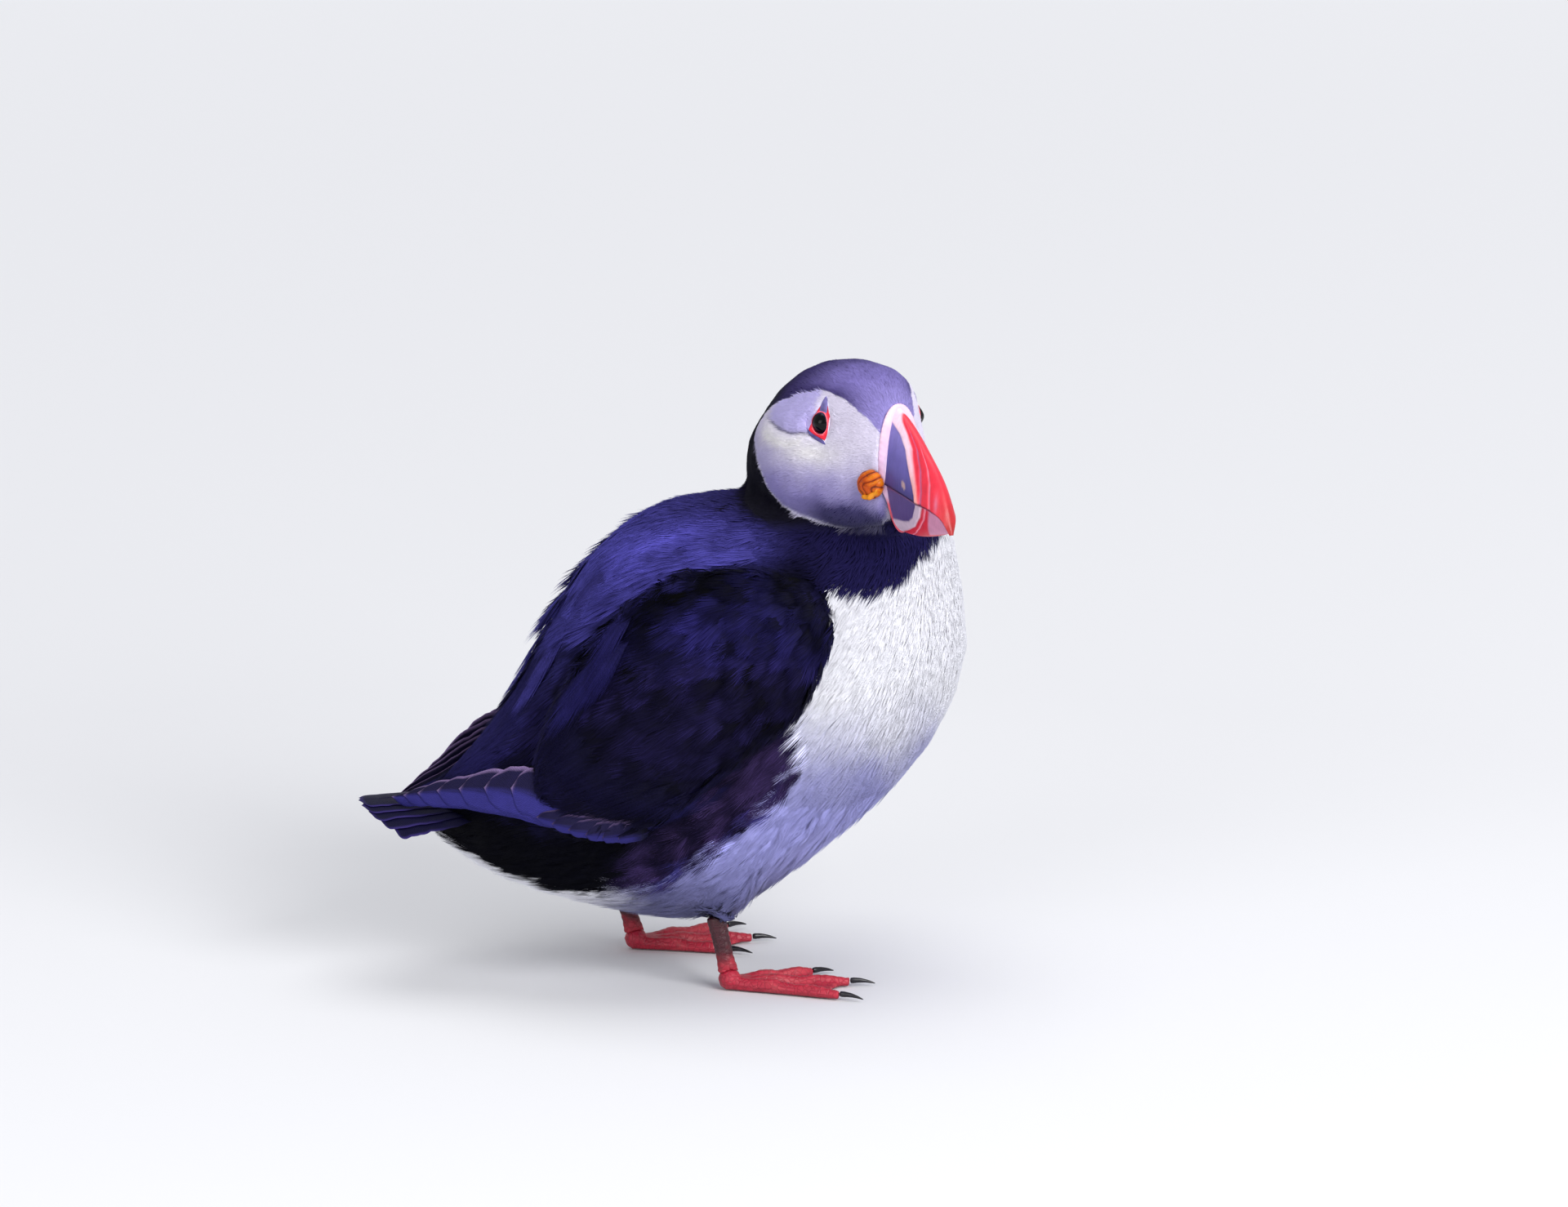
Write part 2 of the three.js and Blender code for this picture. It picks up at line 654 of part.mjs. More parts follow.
for (const label of ['right', 'left']) {
  const leg = legs[label];
  const clearOfPad = solid(heelPad(gap), footFrame(label));
  add(`thigh_${label}`, thighShape(leg).subtract(clearOfTrunk).subtract(tarsusShape(leg, gap)), 'white');
  add(`tarsus_${label}`, tarsusShape(leg).subtract(clearOfPad), 'red', 0.6);
  add(`foot_${label}`, footShape(label), 'red', 0.6);
  for (const [index, toeName] of ['a', 'b', 'c'].entries()) {
    add(`claw_${label}_${toeName}`, clawShape(label, index), 'claw', 0.4);
  }
}

// The origin goes to the floor under the middle of the bird's box.
const middle = new THREE.Box3().setFromObject(bird).getCenter(v3(0, 0, 0));
for (const mesh of bird.children) mesh.geometry.translate(-middle.x, -middle.y, 0);

export default bird;
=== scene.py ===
# An Atlantic puffin at life size: skin, coat, flight feathers, bill, eyes and feet.
# Row frame in metres, but most sizes below are written in millimetres and scaled by mm.
import math
import bpy
import numpy as np
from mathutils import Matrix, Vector
from mathutils.bvhtree import BVHTree


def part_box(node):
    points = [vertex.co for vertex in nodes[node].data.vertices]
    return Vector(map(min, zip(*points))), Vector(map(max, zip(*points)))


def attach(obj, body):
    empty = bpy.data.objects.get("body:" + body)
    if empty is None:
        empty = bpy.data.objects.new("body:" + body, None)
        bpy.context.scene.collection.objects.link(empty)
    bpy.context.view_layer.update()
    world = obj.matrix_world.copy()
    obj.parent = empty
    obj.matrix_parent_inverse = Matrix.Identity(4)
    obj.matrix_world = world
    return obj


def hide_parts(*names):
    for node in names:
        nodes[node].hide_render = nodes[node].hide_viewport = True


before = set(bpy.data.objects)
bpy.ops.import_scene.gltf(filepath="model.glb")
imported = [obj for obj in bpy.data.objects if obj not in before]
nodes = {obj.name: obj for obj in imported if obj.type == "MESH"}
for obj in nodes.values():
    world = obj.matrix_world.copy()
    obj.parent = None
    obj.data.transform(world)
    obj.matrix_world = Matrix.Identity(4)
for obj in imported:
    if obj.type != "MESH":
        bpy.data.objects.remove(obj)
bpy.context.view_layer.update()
mm = 0.001
sides = {"right": -1, "left": 1}



def tint(red, green, blue):
    # a colour written 0 to 255 as the linear values that Blender keeps
    values = np.array([red, green, blue]) / 255
    return np.where(values <= 0.04045, values / 12.92, ((values + 0.055) / 1.055) ** 2.4)


def tints(**colours):
    return {name: tint(*values) for name, values in colours.items()}


def smooth(low, high, value):
    t = np.clip((value - low) / (high - low), 0, 1)
    return t * t * (3 - 2 * t)


def bell(value, middle, reach):
    # 1 at the middle, fading to nothing on both sides
    return np.exp(-(((value - middle) / reach) ** 2))


def blendTo(first, second, share):
    # one colour laid over another, by a share for each point
    share = np.asarray(share)[..., None]
    return first * (1 - share) + second * share


def unit(vectors):
    return vectors / np.maximum(np.linalg.norm(vectors, axis=-1, keepdims=True), 1e-12)


def middleOf(node):
    low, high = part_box(node)
    return (np.array(low) + np.array(high)) / 2


def ripple(points, size, seed, waves=7):
    # soft wandering values from about -1 to 1, with features about size millimetres long
    rng = np.random.default_rng(seed)
    total = np.zeros(len(points))
    for _ in range(waves):
        heading = unit(rng.normal(size=3)) * 2 * math.pi / (size * rng.uniform(0.7, 1.6)) / mm
        total += np.sin(points @ heading + rng.uniform(0, 6.28))
    return total / math.sqrt(waves / 2) / 1.6


def curveThrough(points, steps):
    # a smooth line through the given points, read at evenly spaced steps from 0 to 1
    points = np.array(points, float)
    padded = np.vstack([2 * points[0] - points[1], points, 2 * points[-1] - points[-2]])
    place = np.clip(np.asarray(steps, float), 0, 1) * (len(points) - 1)
    index = np.minimum(place.astype(int), len(points) - 2)
    t = (place - index)[..., None]
    a, b, c, d = (padded[index + k] for k in range(4))
    return 0.5 * (2 * b + (c - a) * t + (2 * a - 5 * b + 4 * c - d) * t**2 + (3 * b - a - 3 * c + d) * t**3)


def sizesAlong(values, steps):
    return curveThrough([[value] for value in values], steps)[..., 0]


# The head's own frame, found from the eyes: forward along the bill, left, up.
eyeLeft, eyeRight = middleOf("eye_left"), middleOf("eye_right")
headLeft = unit(eyeLeft - eyeRight)
headForward = unit(np.cross(headLeft, [0, 0, 1]))
headUp = np.cross(headForward, headLeft)
headAxes = np.stack([headForward, headLeft, headUp])
headCentre = (eyeLeft + eyeRight) / 2 - (headForward * 19.1 + headUp * 12.1) * mm

# The body's own frame: x the way it heads, y its left, z up from the floor.
tailLow, tailHigh = (np.array(corner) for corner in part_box("tail"))
bodyCentre = np.array([tailLow[0] + 114.5 * mm, (tailLow[1] + tailHigh[1]) / 2, 0])


def inHead(points):
    return (points - headCentre) @ headAxes.T / mm


def fromHead(points):
    return headCentre + np.asarray(points) @ headAxes * mm


def inBody(points):
    return (points - bodyCentre) / mm


def fromBody(points):
    return bodyCentre + np.asarray(points) * mm


def deselect():
    if bpy.context.object and bpy.context.object.mode != "OBJECT":
        bpy.ops.object.mode_set(mode="OBJECT")
    bpy.ops.object.select_all(action="DESELECT")


def only(piece):
    deselect()
    piece.select_set(True)
    bpy.context.view_layer.objects.active = piece


def applyModifier(piece, name, kind, **settings):
    only(piece)
    modifier = piece.modifiers.new(name, kind)
    for key, value in settings.items():
        setattr(modifier, key, value)
    bpy.ops.object.modifier_apply(modifier=modifier.name)


def pointsOf(piece):
    values = np.empty(len(piece.data.vertices) * 3)
    piece.data.vertices.foreach_get("co", values)
    return values.reshape(-1, 3)


def normalsOf(piece):
    values = np.empty(len(piece.data.vertices) * 3)
    piece.data.vertices.foreach_get("normal", values)
    return values.reshape(-1, 3)


def edgesOf(piece):
    values = np.empty(len(piece.data.edges) * 2, dtype=np.int32)
    piece.data.edges.foreach_get("vertices", values)
    return values.reshape(-1, 2)


def movePoints(piece, points):
    piece.data.vertices.foreach_set("co", np.asarray(points, float).ravel())
    piece.data.update()


def relax(piece, rounds, tighten=0.55, loosen=-0.57):
    # evens out a surface without letting it shrink
    points, edges = pointsOf(piece), edgesOf(piece)
    count = np.bincount(edges.ravel(), minlength=len(points))[:, None]
    for step in range(rounds * 2):
        total = np.zeros_like(points)
        for axis in range(3):
            total[:, axis] = np.bincount(edges[:, 0], points[edges[:, 1], axis], len(points))
            total[:, axis] += np.bincount(edges[:, 1], points[edges[:, 0], axis], len(points))
        points += (total / np.maximum(count, 1) - points) * (tighten if step % 2 == 0 else loosen)
    movePoints(piece, points)


def shadeSmooth(piece):
    only(piece)
    bpy.ops.object.shade_smooth()


def paint(piece, colours):
    layer = piece.data.color_attributes.new(name="tone", type="FLOAT_COLOR", domain="POINT")
    values = np.ones((len(piece.data.vertices), 4))
    values[:, :3] = colours
    layer.data.foreach_set("color", values.ravel())


def editAll(piece, operation, **settings):
    # one mesh operation on the whole of a piece
    only(piece)
    bpy.ops.object.mode_set(mode="EDIT")
    bpy.ops.mesh.select_all(action="SELECT")
    operation(**settings)
    bpy.ops.object.mode_set(mode="OBJECT")


def outwardNormals(piece):
    editAll(piece, bpy.ops.mesh.normals_make_consistent, inside=False)
    shadeSmooth(piece)


def copyOf(name, *sources):
    # one merged copy of CAD nodes, which are loose triangles until their doubles are merged
    deselect()
    for source in sources:
        copy = nodes[source].copy()
        copy.data = nodes[source].data.copy()
        bpy.context.collection.objects.link(copy)
        copy.select_set(True)
        bpy.context.view_layer.objects.active = copy
    bpy.ops.object.join()
    piece = bpy.context.object
    piece.name = name
    piece.data.name = name
    piece.data.materials.clear()
    editAll(piece, bpy.ops.mesh.remove_doubles, threshold=0.01 * mm)
    return piece


def hand(piece, material, slotName, *replaced):
    # gives a finished piece its material and its body, and hides the nodes it stands for; slotName is not used
    piece.data.materials.clear()
    piece.data.materials.append(material)
    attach(piece, "root")
    if replaced:
        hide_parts(*replaced)
    return piece


def wrapGrid(name, columns, rows, place, closeEnds=True):
    # a grid rolled into a tube: place(u, v) takes u along it and v round it, both 0 to 1
    deselect()
    bpy.ops.mesh.primitive_grid_add(x_subdivisions=columns, y_subdivisions=rows, size=2)
    piece = bpy.context.object
    piece.name = name
    piece.data.name = name
    flat = (pointsOf(piece) + 1) / 2
    movePoints(piece, place(flat[:, 0], flat[:, 1]))
    piece.data.attributes.new("along", "FLOAT", "POINT").data.foreach_set("value", flat[:, 0])
    piece.data.attributes.new("around", "FLOAT", "POINT").data.foreach_set("value", flat[:, 1])
    editAll(piece, bpy.ops.mesh.remove_doubles, threshold=0.004 * mm)
    if closeEnds:
        bpy.ops.object.mode_set(mode="EDIT")
        bpy.ops.mesh.select_all(action="DESELECT")
        bpy.ops.mesh.select_non_manifold(extend=False)
        bpy.ops.mesh.fill_holes(sides=0)
        bpy.ops.object.mode_set(mode="OBJECT")
    outwardNormals(piece)
    return piece


def valuesOf(piece, name):
    values = np.empty(len(piece.data.vertices))
    piece.data.attributes[name].data.foreach_get("value", values)
    return values


class Nodes:
    # a short way to write a node tree
    def __init__(self, name):
        self.material = bpy.data.materials.new(name)
        self.material.use_nodes = True
        self.tree = self.material.node_tree
        self.shader = self.tree.nodes["Principled BSDF"]

    def add(self, kind, inputs=None, **settings):
        node = self.tree.nodes.new(kind)
        for key, value in settings.items():
            setattr(node, key, value)
        for key, value in (inputs or {}).items():
            self.join(value, node.inputs[key])
        return node

    def join(self, value, socket):
        if isinstance(value, bpy.types.NodeSocket):
            self.tree.links.new(value, socket)
        else:
            socket.default_value = value

    def set(self, **values):
        for key, value in values.items():
            self.join(value, self.shader.inputs[key.replace("_", " ")])

    def maths(self, operation, first, second=0.0):
        return self.add("ShaderNodeMath", {0: first, 1: second}, operation=operation).outputs[0]

    def attribute(self, name, output="Fac"):
        return self.add("ShaderNodeAttribute", attribute_name=name).outputs[output]

    def place(self):
        return self.add("ShaderNodeTexCoord").outputs["Object"]

    def toned(self, shade):
        # the colour painted on the piece, made lighter or darker by shade
        grey = self.add("ShaderNodeCombineXYZ", {0: shade, 1: shade, 2: shade}).outputs[0]
        values = {0: self.attribute("tone", "Color"), 1: grey}
        return self.add("ShaderNodeVectorMath", values, operation="MULTIPLY").outputs[0]

    def noise(self, vector, scale, detail=3.0, roughness=0.5):
        values = {"Vector": vector, "Scale": scale, "Detail": detail, "Roughness": roughness}
        return self.add("ShaderNodeTexNoise", values).outputs["Fac"]

    def span(self, value, low, high, toLow, toHigh):
        values = {"Value": value, "From Min": low, "From Max": high, "To Min": toLow, "To Max": toHigh}
        return self.add("ShaderNodeMapRange", values).outputs["Result"]

    def bump(self, height, distance):
        values = {"Height": height, "Distance": distance, "Strength": 1.0}
        return self.add("ShaderNodeBump", values).outputs["Normal"]


def plumageMaterial(name, look):
    # feathers take their colour from the tone attribute; the lie map runs across and along each
    made = Nodes(name)
    lie = made.add("ShaderNodeUVMap", uv_map="lie").outputs["UV"]
    parts = made.add("ShaderNodeSeparateXYZ", {0: lie})
    across, along = parts.outputs["X"], parts.outputs["Y"]
    place = made.place()
    blotch = made.noise(place, look["blotchScale"], 4.0, 0.6)
    fine = made.noise(place, look["fineScale"], 2.0, 0.5)
    fromShaft = made.maths("ABSOLUTE", made.maths("SUBTRACT", across, 0.5))
    slant = made.maths("SUBTRACT", along, made.maths("MULTIPLY", fromShaft, look["barbSlant"]))
    wander = made.maths("MULTIPLY", fine, look["barbWander"])
    phase = made.maths("ADD", made.maths("MULTIPLY", slant, look["barbs"]), wander)
    barb = made.maths("SINE", phase)
    # painted shade: each feather darkens towards its root, where the feathers over it shade it
    depth = made.span(along, 0.0, 0.75, look["rootShade"], 1.0)
    grain = made.span(blotch, 0.3, 0.7, 1 - look["blotch"], 1 + look["blotch"])
    streak = made.span(barb, -1.0, 1.0, 1 - look["streak"], 1 + look["streak"])
    shade = made.maths("MULTIPLY", made.maths("MULTIPLY", depth, grain), streak)
    height = made.maths("ADD", made.maths("MULTIPLY", barb, look["barbHeight"]), fine)
    made.set(Base_Color=made.toned(shade), Normal=made.bump(height, look["bump"] * mm))
    made.set(Roughness=made.span(blotch, 0.3, 0.7, look["rough"] - 0.07, look["rough"] + 0.07))
    made.set(Specular_IOR_Level=look["gloss"], Sheen_Weight=look["sheen"])
    made.set(Sheen_Roughness=0.5, Sheen_Tint=(*look["sheenTint"], 1))
    return made.material


plainLook = {
    "blotchScale": 240.0, "fineScale": 1500.0, "barbs": 42.0, "barbSlant": 0.9, "barbWander": 5.0,
    "rootShade": 0.6, "blotch": 0.14, "streak": 0.05, "barbHeight": 0.4, "bump": 0.06,
    "rough": 0.62, "gloss": 0.3, "sheen": 0.12, "sheenTint": (0.8, 0.82, 1.0),
}


skinMake = {
    "flesh": ["trunk", "neck", "head", "thigh_left", "thigh_right", "wing_left", "wing_right"],
    "voxel": 1.15, "fatten": 0.3, "rounds": 14,
    "coatHead": 0.8, "coatNeck": 1.6, "coatBody": 2.6,
}


def nearHead(points):
    # 1 on the head, 0 on the body, with a soft change over the neck
    h = inHead(points)
    far = np.sqrt(((h[:, 0] - 8) / 34) ** 2 + (h[:, 1] / 29) ** 2 + ((h[:, 2] - 3) / 30) ** 2)
    return 1 - smooth(0.98, 1.35, far)


eyePlace = {"place": [19.1, 14.82, 12.1], "facing": 60}


def cheekSpot(place, facing, side):
    # a spot on the side of the head, and which way is outward and forward there
    angle = math.radians(facing)
    outward = np.array([math.cos(angle), side * math.sin(angle), 0])
    forward = np.array([math.sin(angle), -side * math.cos(angle), 0])
    return np.array(place) * [1, side, 1], outward, forward


def inEye(points, side):
    # forward, up and outward from the middle of an eyeball
    centre, outward, forward = cheekSpot(side=side, **eyePlace)
    q = inHead(points) - centre
    return np.stack([q @ forward, q[:, 2], q @ outward], axis=1)


def fromEye(points, side):
    points = np.asarray(points, float)
    centre, outward, forward = cheekSpot(side=side, **eyePlace)
    h = centre + points[:, :1] * forward + points[:, 1:2] * [0, 0, 1] + points[:, 2:3] * outward
    return fromHead(h)


# the bare skin round the eye, across (forward is +) and up from its middle
eyeOpening = np.array([
    [0.4, 7.6], [1.5, 6.1], [2.3, 4.0], [2.95, 1.6], [3.0, -1.2], [2.8, -3.4], [2.65, -5.9], [0.6, -5.2],
    [-1.8, -4.2], [-4.1, -2.7], [-3.7, -1.6], [-2.95, 0.8], [-2.2, 3.2], [-1.2, 5.6],
])
creaseLine = np.array([[17.4, 8.6], [13.2, 8.0], [8.6, 8.2], [2.0, 9.6], [-3.0, 11.5]])


def creaseAt(points):
    # how much of the fold behind the eye there is here (0 to 1), and how far above its line
    h = inHead(points)
    line = np.interp(h[:, 0], creaseLine[::-1, 0], creaseLine[::-1, 1])
    reach = smooth(-4, 3, h[:, 0]) * (1 - smooth(16.5, 18.5, h[:, 0]))
    return reach, h[:, 2] - line


def makeSkin():
    skin = copyOf("skin", *skinMake["flesh"])
    editAll(skin, bpy.ops.transform.shrink_fatten, value=skinMake["fatten"] * mm)
    applyModifier(skin, "oneBody", "REMESH", mode="VOXEL", voxel_size=skinMake["voxel"] * mm)
    only(skin)
    bpy.ops.mesh.separate(type="LOOSE")
    parts = sorted(bpy.context.selected_objects, key=lambda part: len(part.data.vertices))
    skin = parts.pop()
    for part in parts:
        bpy.data.objects.remove(part)
    skin.name = "skin"
    relax(skin, skinMake["rounds"])
    points, normals = pointsOf(skin), normalsOf(skin)
    head = nearHead(points)
    neck = nearHead(points - np.array([0, 0, -14 * mm]))
    depth = skinMake["coatBody"] + (skinMake["coatNeck"] - skinMake["coatBody"]) * neck
    depth += (skinMake["coatHead"] - depth) * head + skinMake["fatten"]
    h = inHead(points)
    depth *= 1 - 0.7 * smooth(36, 41, h[:, 0])  # the coat thins out at the bill
    reach, above = creaseAt(points)
    depth += reach * (bell(above, 0, 0.9) - 0.35 * bell(above, 3.2, 2.4))
    depth -= 0.5 * reach * bell(above, -3.0, 2.2)
    points = points - normals * depth[:, None] * mm
    for side in sides.values():  # the lids close the socket behind the ring
        e = inEye(points, side)
        far = np.hypot(e[:, 0], e[:, 1] * 0.92)
        level = 1.75 + 0.1 * e[:, 0] - 0.2 * e[:, 1] - 2.0 * smooth(3.3, 2.2, far)
        near = (1 - smooth(5.6, 7.4, far)) * (e[:, 2] > -9) * (e[:, 2] < level)
        e[:, 2] += (level - e[:, 2]) * near
        points = np.where((near > 0)[:, None], fromEye(e, side), points)
    movePoints(skin, points)
    relax(skin, 2)
    shadeSmooth(skin)
    return skin


print("skin")
skin = makeSkin()
editAll(skin, bpy.ops.uv.smart_project, angle_limit=math.radians(75), island_margin=0.002)
skin.data.uv_layers[0].name = "OFBake"
print("skin faces", len(skin.data.polygons))


cellPrimes = (73856093, 19349663, 83492791)  # they keep neighbouring cells' keys apart


class Surface:
    # the skin as arrays, for sowing feathers and laying them down on it
    def __init__(self, piece):
        mesh = piece.data
        mesh.calc_loop_triangles()
        count = len(mesh.loop_triangles)
        corners, loops = np.empty(count * 3, np.int32), np.empty(count * 3, np.int32)
        mesh.loop_triangles.foreach_get("vertices", corners)
        mesh.loop_triangles.foreach_get("loops", loops)
        self.corners, self.loops = corners.reshape(-1, 3), loops.reshape(-1, 3)
        self.points, self.normals = pointsOf(piece), normalsOf(piece)
        uv = np.empty(len(mesh.loops) * 2)
        mesh.uv_layers["OFBake"].data.foreach_get("uv", uv)
        self.uv = uv.reshape(-1, 2)
        a, b, c = (self.points[self.corners[:, k]] for k in range(3))
        self.area = np.linalg.norm(np.cross(b - a, c - a), axis=1) / 2
        self.tree = BVHTree.FromPolygons(self.points.tolist(), self.corners.tolist())

    def sow(self, spacing, keep, seed):
        # roots spread evenly over the part of the skin where keep(points) is above 0
        rng = np.random.default_rng(seed)
        middles = self.points[self.corners].mean(axis=1)
        area = self.area * (keep(middles) > -1.5)
        tries = 6  # for every root that is kept
        amount = int(area.sum() / (spacing * mm) ** 2 * tries)
        chosen = rng.choice(len(area), amount, p=area / area.sum())
        first, second = np.sqrt(rng.random(amount)), rng.random(amount)
        shares = np.stack([1 - first, first * (1 - second), first * second], axis=1)[..., None]
        points = (self.points[self.corners[chosen]] * shares).sum(axis=1)
        normals = unit((self.normals[self.corners[chosen]] * shares).sum(axis=1))
        uv = (self.uv[self.loops[chosen]] * shares).sum(axis=1)
        inside = keep(points) > 0
        points, normals, uv = points[inside], normals[inside], uv[inside]
        cells = np.floor(points / (spacing * mm)).astype(np.int64)
        keys = np.bitwise_xor.reduce(cells * cellPrimes, axis=1)
        firsts = np.sort(np.unique(keys, return_index=True)[1])
        return points[firsts], normals[firsts], uv[firsts]

    def nearest(self, points):
        spots, faces = np.empty_like(points), np.empty(len(points), np.int64)
        find = self.tree.find_nearest
        for i, point in enumerate(points.tolist()):
            spot, _, face, _ = find(point)
            spots[i], faces[i] = spot, face
        corners = self.points[self.corners[faces]]
        shares = 1 / np.maximum(np.linalg.norm(corners - spots[:, None], axis=2), 1e-6)
        shares /= shares.sum(axis=1, keepdims=True)
        normals = (self.normals[self.corners[faces]] * shares[..., None]).sum(axis=1)
        return spots, unit(normals)

    def unwrapAt(self, points):
        # where points on the skin fall on its unwrap
        faces = [self.tree.find_nearest(point)[2] for point in points.tolist()]
        return self.uv[self.loops[faces]].mean(axis=1)


surface = Surface(skin)

# markings, in the head's and the body's own frames

# Upper and lower edge of the white face, as angles seen along the bill, at distances along it.
faceEdge = {
    "along": [-12, -8, -6.5, -2.2, 2.9, 5.7, 10.4, 16.5, 23.5, 31.0, 37.0, 44.0],
    "upper": [8, 17, 22, 31.5, 38.5, 41, 46.5, 54, 58.5, 61.5, 63, 64],
    "lower": [15, 9, 4, -5.5, -19, -31, -41, -50.5, -64, -74.5, -79, -82],
}
collarEdge = {
    "turn": [-180, -112, -103, -92, -79, -64, -54, -43, -20, 0, 30, 60, 85, 112, 180],
    "height": [124, 124, 124.5, 123.2, 123.4, 126.8, 131.6, 137, 141, 141.5, 139, 134, 129, 124, 124],
}
darkSide = np.array([  # x and z of the dark back and flank, seen from beside the bird
    [23.5, 300], [23.5, 124], [21.5, 112.6], [20, 102], [17, 97], [14.5, 88], [17, 82], [18.5, 74],
    [13.5, 66], [7, 59.5], [-0.5, 53], [-11, 45.5], [-19.5, 40], [-28.5, 35], [-36, 31.5],
    [-50, 30.5], [-70, 37], [-92, 46], [-140, 50], [-140, 300],
])
wingOutline = np.array([  # x and z of the folded wing's covert shield
    [24.5, 118], [18, 127], [6, 130.5], [-10, 131], [-28, 125.5], [-43, 112], [-55, 95], [-63, 79], [-66, 66],
    [-62, 53.5], [-51, 51], [-35, 54], [-20, 63.5], [-4, 75.5], [13, 87.5], [21, 103], [24.5, 114],
])


capeLine = np.array([  # the cape's ragged edge over the wing, x from tail to breast
    [-60, 100], [-47.5, 111.6], [-44.7, 112.2], [-41.8, 111.6], [-38.1, 115], [-34.9, 118.1], [-31.9, 121.4],
    [-27.8, 124.6], [-23.6, 125.9], [-18.8, 127.4], [-9.4, 130.2], [0, 131.5], [12, 132],
])
wingLow = np.vstack([[[-70, 60]], wingOutline[9:16]])  # its lower edge, from behind to the breast


def least(*depths):
    return np.minimum.reduce(depths)


def insideOutline(x, z, outline):
    # distance in from a closed outline, less than 0 outside it
    inside = np.zeros(len(x), bool)
    nearest = np.full(len(x), 1e9)
    for (ax, az), (bx, bz) in zip(outline, np.roll(outline, -1, axis=0)):
        if az != bz:
            crosses = (az > z) != (bz > z)
            inside ^= crosses & (x < (bx - ax) * (z - az) / (bz - az) + ax)
        dx, dz = bx - ax, bz - az
        t = np.clip(((x - ax) * dx + (z - az) * dz) / (dx**2 + dz**2), 0, 1)
        nearest = np.minimum(nearest, np.hypot(x - ax - t * dx, z - az - t * dz))
    return np.where(inside, nearest, -nearest)


def faceDepth(points):
    # distance in from the edge of the white face
    h = inHead(points)
    level = h[:, 2] - 2
    reach = np.hypot(h[:, 1] + 1.0, level)
    turn = np.degrees(np.arctan2(level, np.abs(h[:, 1] + 1.0)))
    upper = np.interp(h[:, 0], faceEdge["along"], faceEdge["upper"])
    lower = np.interp(h[:, 0], faceEdge["along"], faceEdge["lower"])
    depth = np.minimum(upper - turn, turn - lower) * math.pi / 180 * reach
    return np.minimum(depth, (nearHead(points) - 0.57) * 30)


def collarDepth(points):
    b = inBody(points)
    turn = np.degrees(np.arctan2(b[:, 1], b[:, 0] - 30))
    return b[:, 2] - np.interp(turn, collarEdge["turn"], collarEdge["height"])


def darkDepth(points):
    # distance in from the edge of all that is dark on the neck and body
    b = inBody(points)
    side = insideOutline(b[:, 0], b[:, 2], darkSide)
    return np.maximum(side, collarDepth(points))


def wingDepth(points):
    b = inBody(points)
    depth = insideOutline(b[:, 0], b[:, 2], wingOutline)
    return np.minimum(depth, np.abs(b[:, 1]) - 14)


def underWing(points):
    # how far below the folded wing's lower edge
    b = inBody(points)
    return np.interp(b[:, 0], wingLow[:, 0], wingLow[:, 1]) - b[:, 2]


def flankDepth(points):
    # the brown, hairy patch between the wing's lower edge and the white belly
    b = inBody(points)
    behind, top = -34, 100
    return least(underWing(points) + 2, darkDepth(points) + 0.6, b[:, 0] - behind, top - b[:, 2])


# ink is both the plumage's own black and the colour of painted shade and shadow
shades = tints(
    ink=(4, 4, 14), mantle=(62, 58, 132), scapular=(25, 22, 68), wing=(20, 16, 48), collar=(29, 25, 70),
    flank=(56, 42, 84), flankDark=(18, 13, 38), rump=(36, 32, 86), nape=(8, 6, 20),
    crownTop=(136, 124, 196), crownMid=(62, 50, 110), crownBill=(168, 156, 228),
    face=(240, 232, 255), faceBright=(255, 251, 255), faceEar=(200, 189, 254), faceMid=(154, 144, 210),
    faceRim=(236, 231, 254), jaw=(58, 51, 106), white=(247, 247, 255), belly=(152, 152, 214),
    vent=(70, 70, 110),
)


def faceColour(points):
    h = inHead(points)
    wave = 1.3 * ripple(points, 9, 31)
    # the lower face turns grey: partly its own grey, partly painted shade where less light falls
    low = smooth(9, -11, h[:, 2] + wave + 0.12 * (h[:, 0] - 18)) ** 0.8
    colour = blendTo(shades["face"], shades["faceMid"], low)
    reach, above = creaseAt(points)
    colour = blendTo(colour, shades["faceEar"], reach * smooth(-0.3, 0.6, above) * 0.85)
    cheek = bell(h[:, 0], 20, 9) * bell(h[:, 2], 3.5, 3.4)
    colour = blendTo(colour, shades["faceBright"], np.maximum(reach * bell(above, -3.0, 2.4), cheek))
    # painted shade: a thin dark line in the crease behind the eye
    colour = blendTo(colour, shades["jaw"], reach * 0.8 * bell(above, 0, 0.45))
    # the dark chin: partly its own grey, partly painted shade under the bill
    chin = np.exp(-np.abs((h[:, 0] - 31) / 12) ** 3 - np.abs((h[:, 2] + 15.5 + 0.6 * wave) / 6) ** 3)
    colour = blendTo(colour, shades["jaw"], np.clip(chin * 1.25, 0, 0.97))
    bottomRim = bell(faceDepth(points), 0.5, 1.15) * smooth(6, -6, h[:, 2])
    return blendTo(colour, shades["faceRim"], bottomRim * 0.95)


def crownColour(points):
    h = inHead(points)
    # painted light: the top of the cap is lighter where the light falls on it from above
    top = smooth(17, 25, h[:, 2]) * smooth(4, 22, h[:, 0])
    colour = blendTo(shades["crownMid"], shades["crownTop"], top * 0.9)
    colour = blendTo(colour, shades["crownBill"], smooth(22, 37, h[:, 0]) * 0.85)
    border = bell(faceDepth(points), 0, 1.6) * smooth(34, 22, h[:, 0])  # darker where the cap meets the face
    colour = blendTo(colour, shades["crownMid"] * 0.75, border * 0.6)
    colour = blendTo(colour, shades["nape"], smooth(8, -7, h[:, 0] + 0.3 * (h[:, 2] - 20)))
    return blendTo(colour, shades["nape"] * 1.4, smooth(2, -8, h[:, 2]))


def capeEdge(points):
    # how far above the ragged edge where the shoulder feathers hang over the wing
    b = inBody(points)
    return b[:, 2] - np.interp(b[:, 0], capeLine[:, 0], capeLine[:, 1])


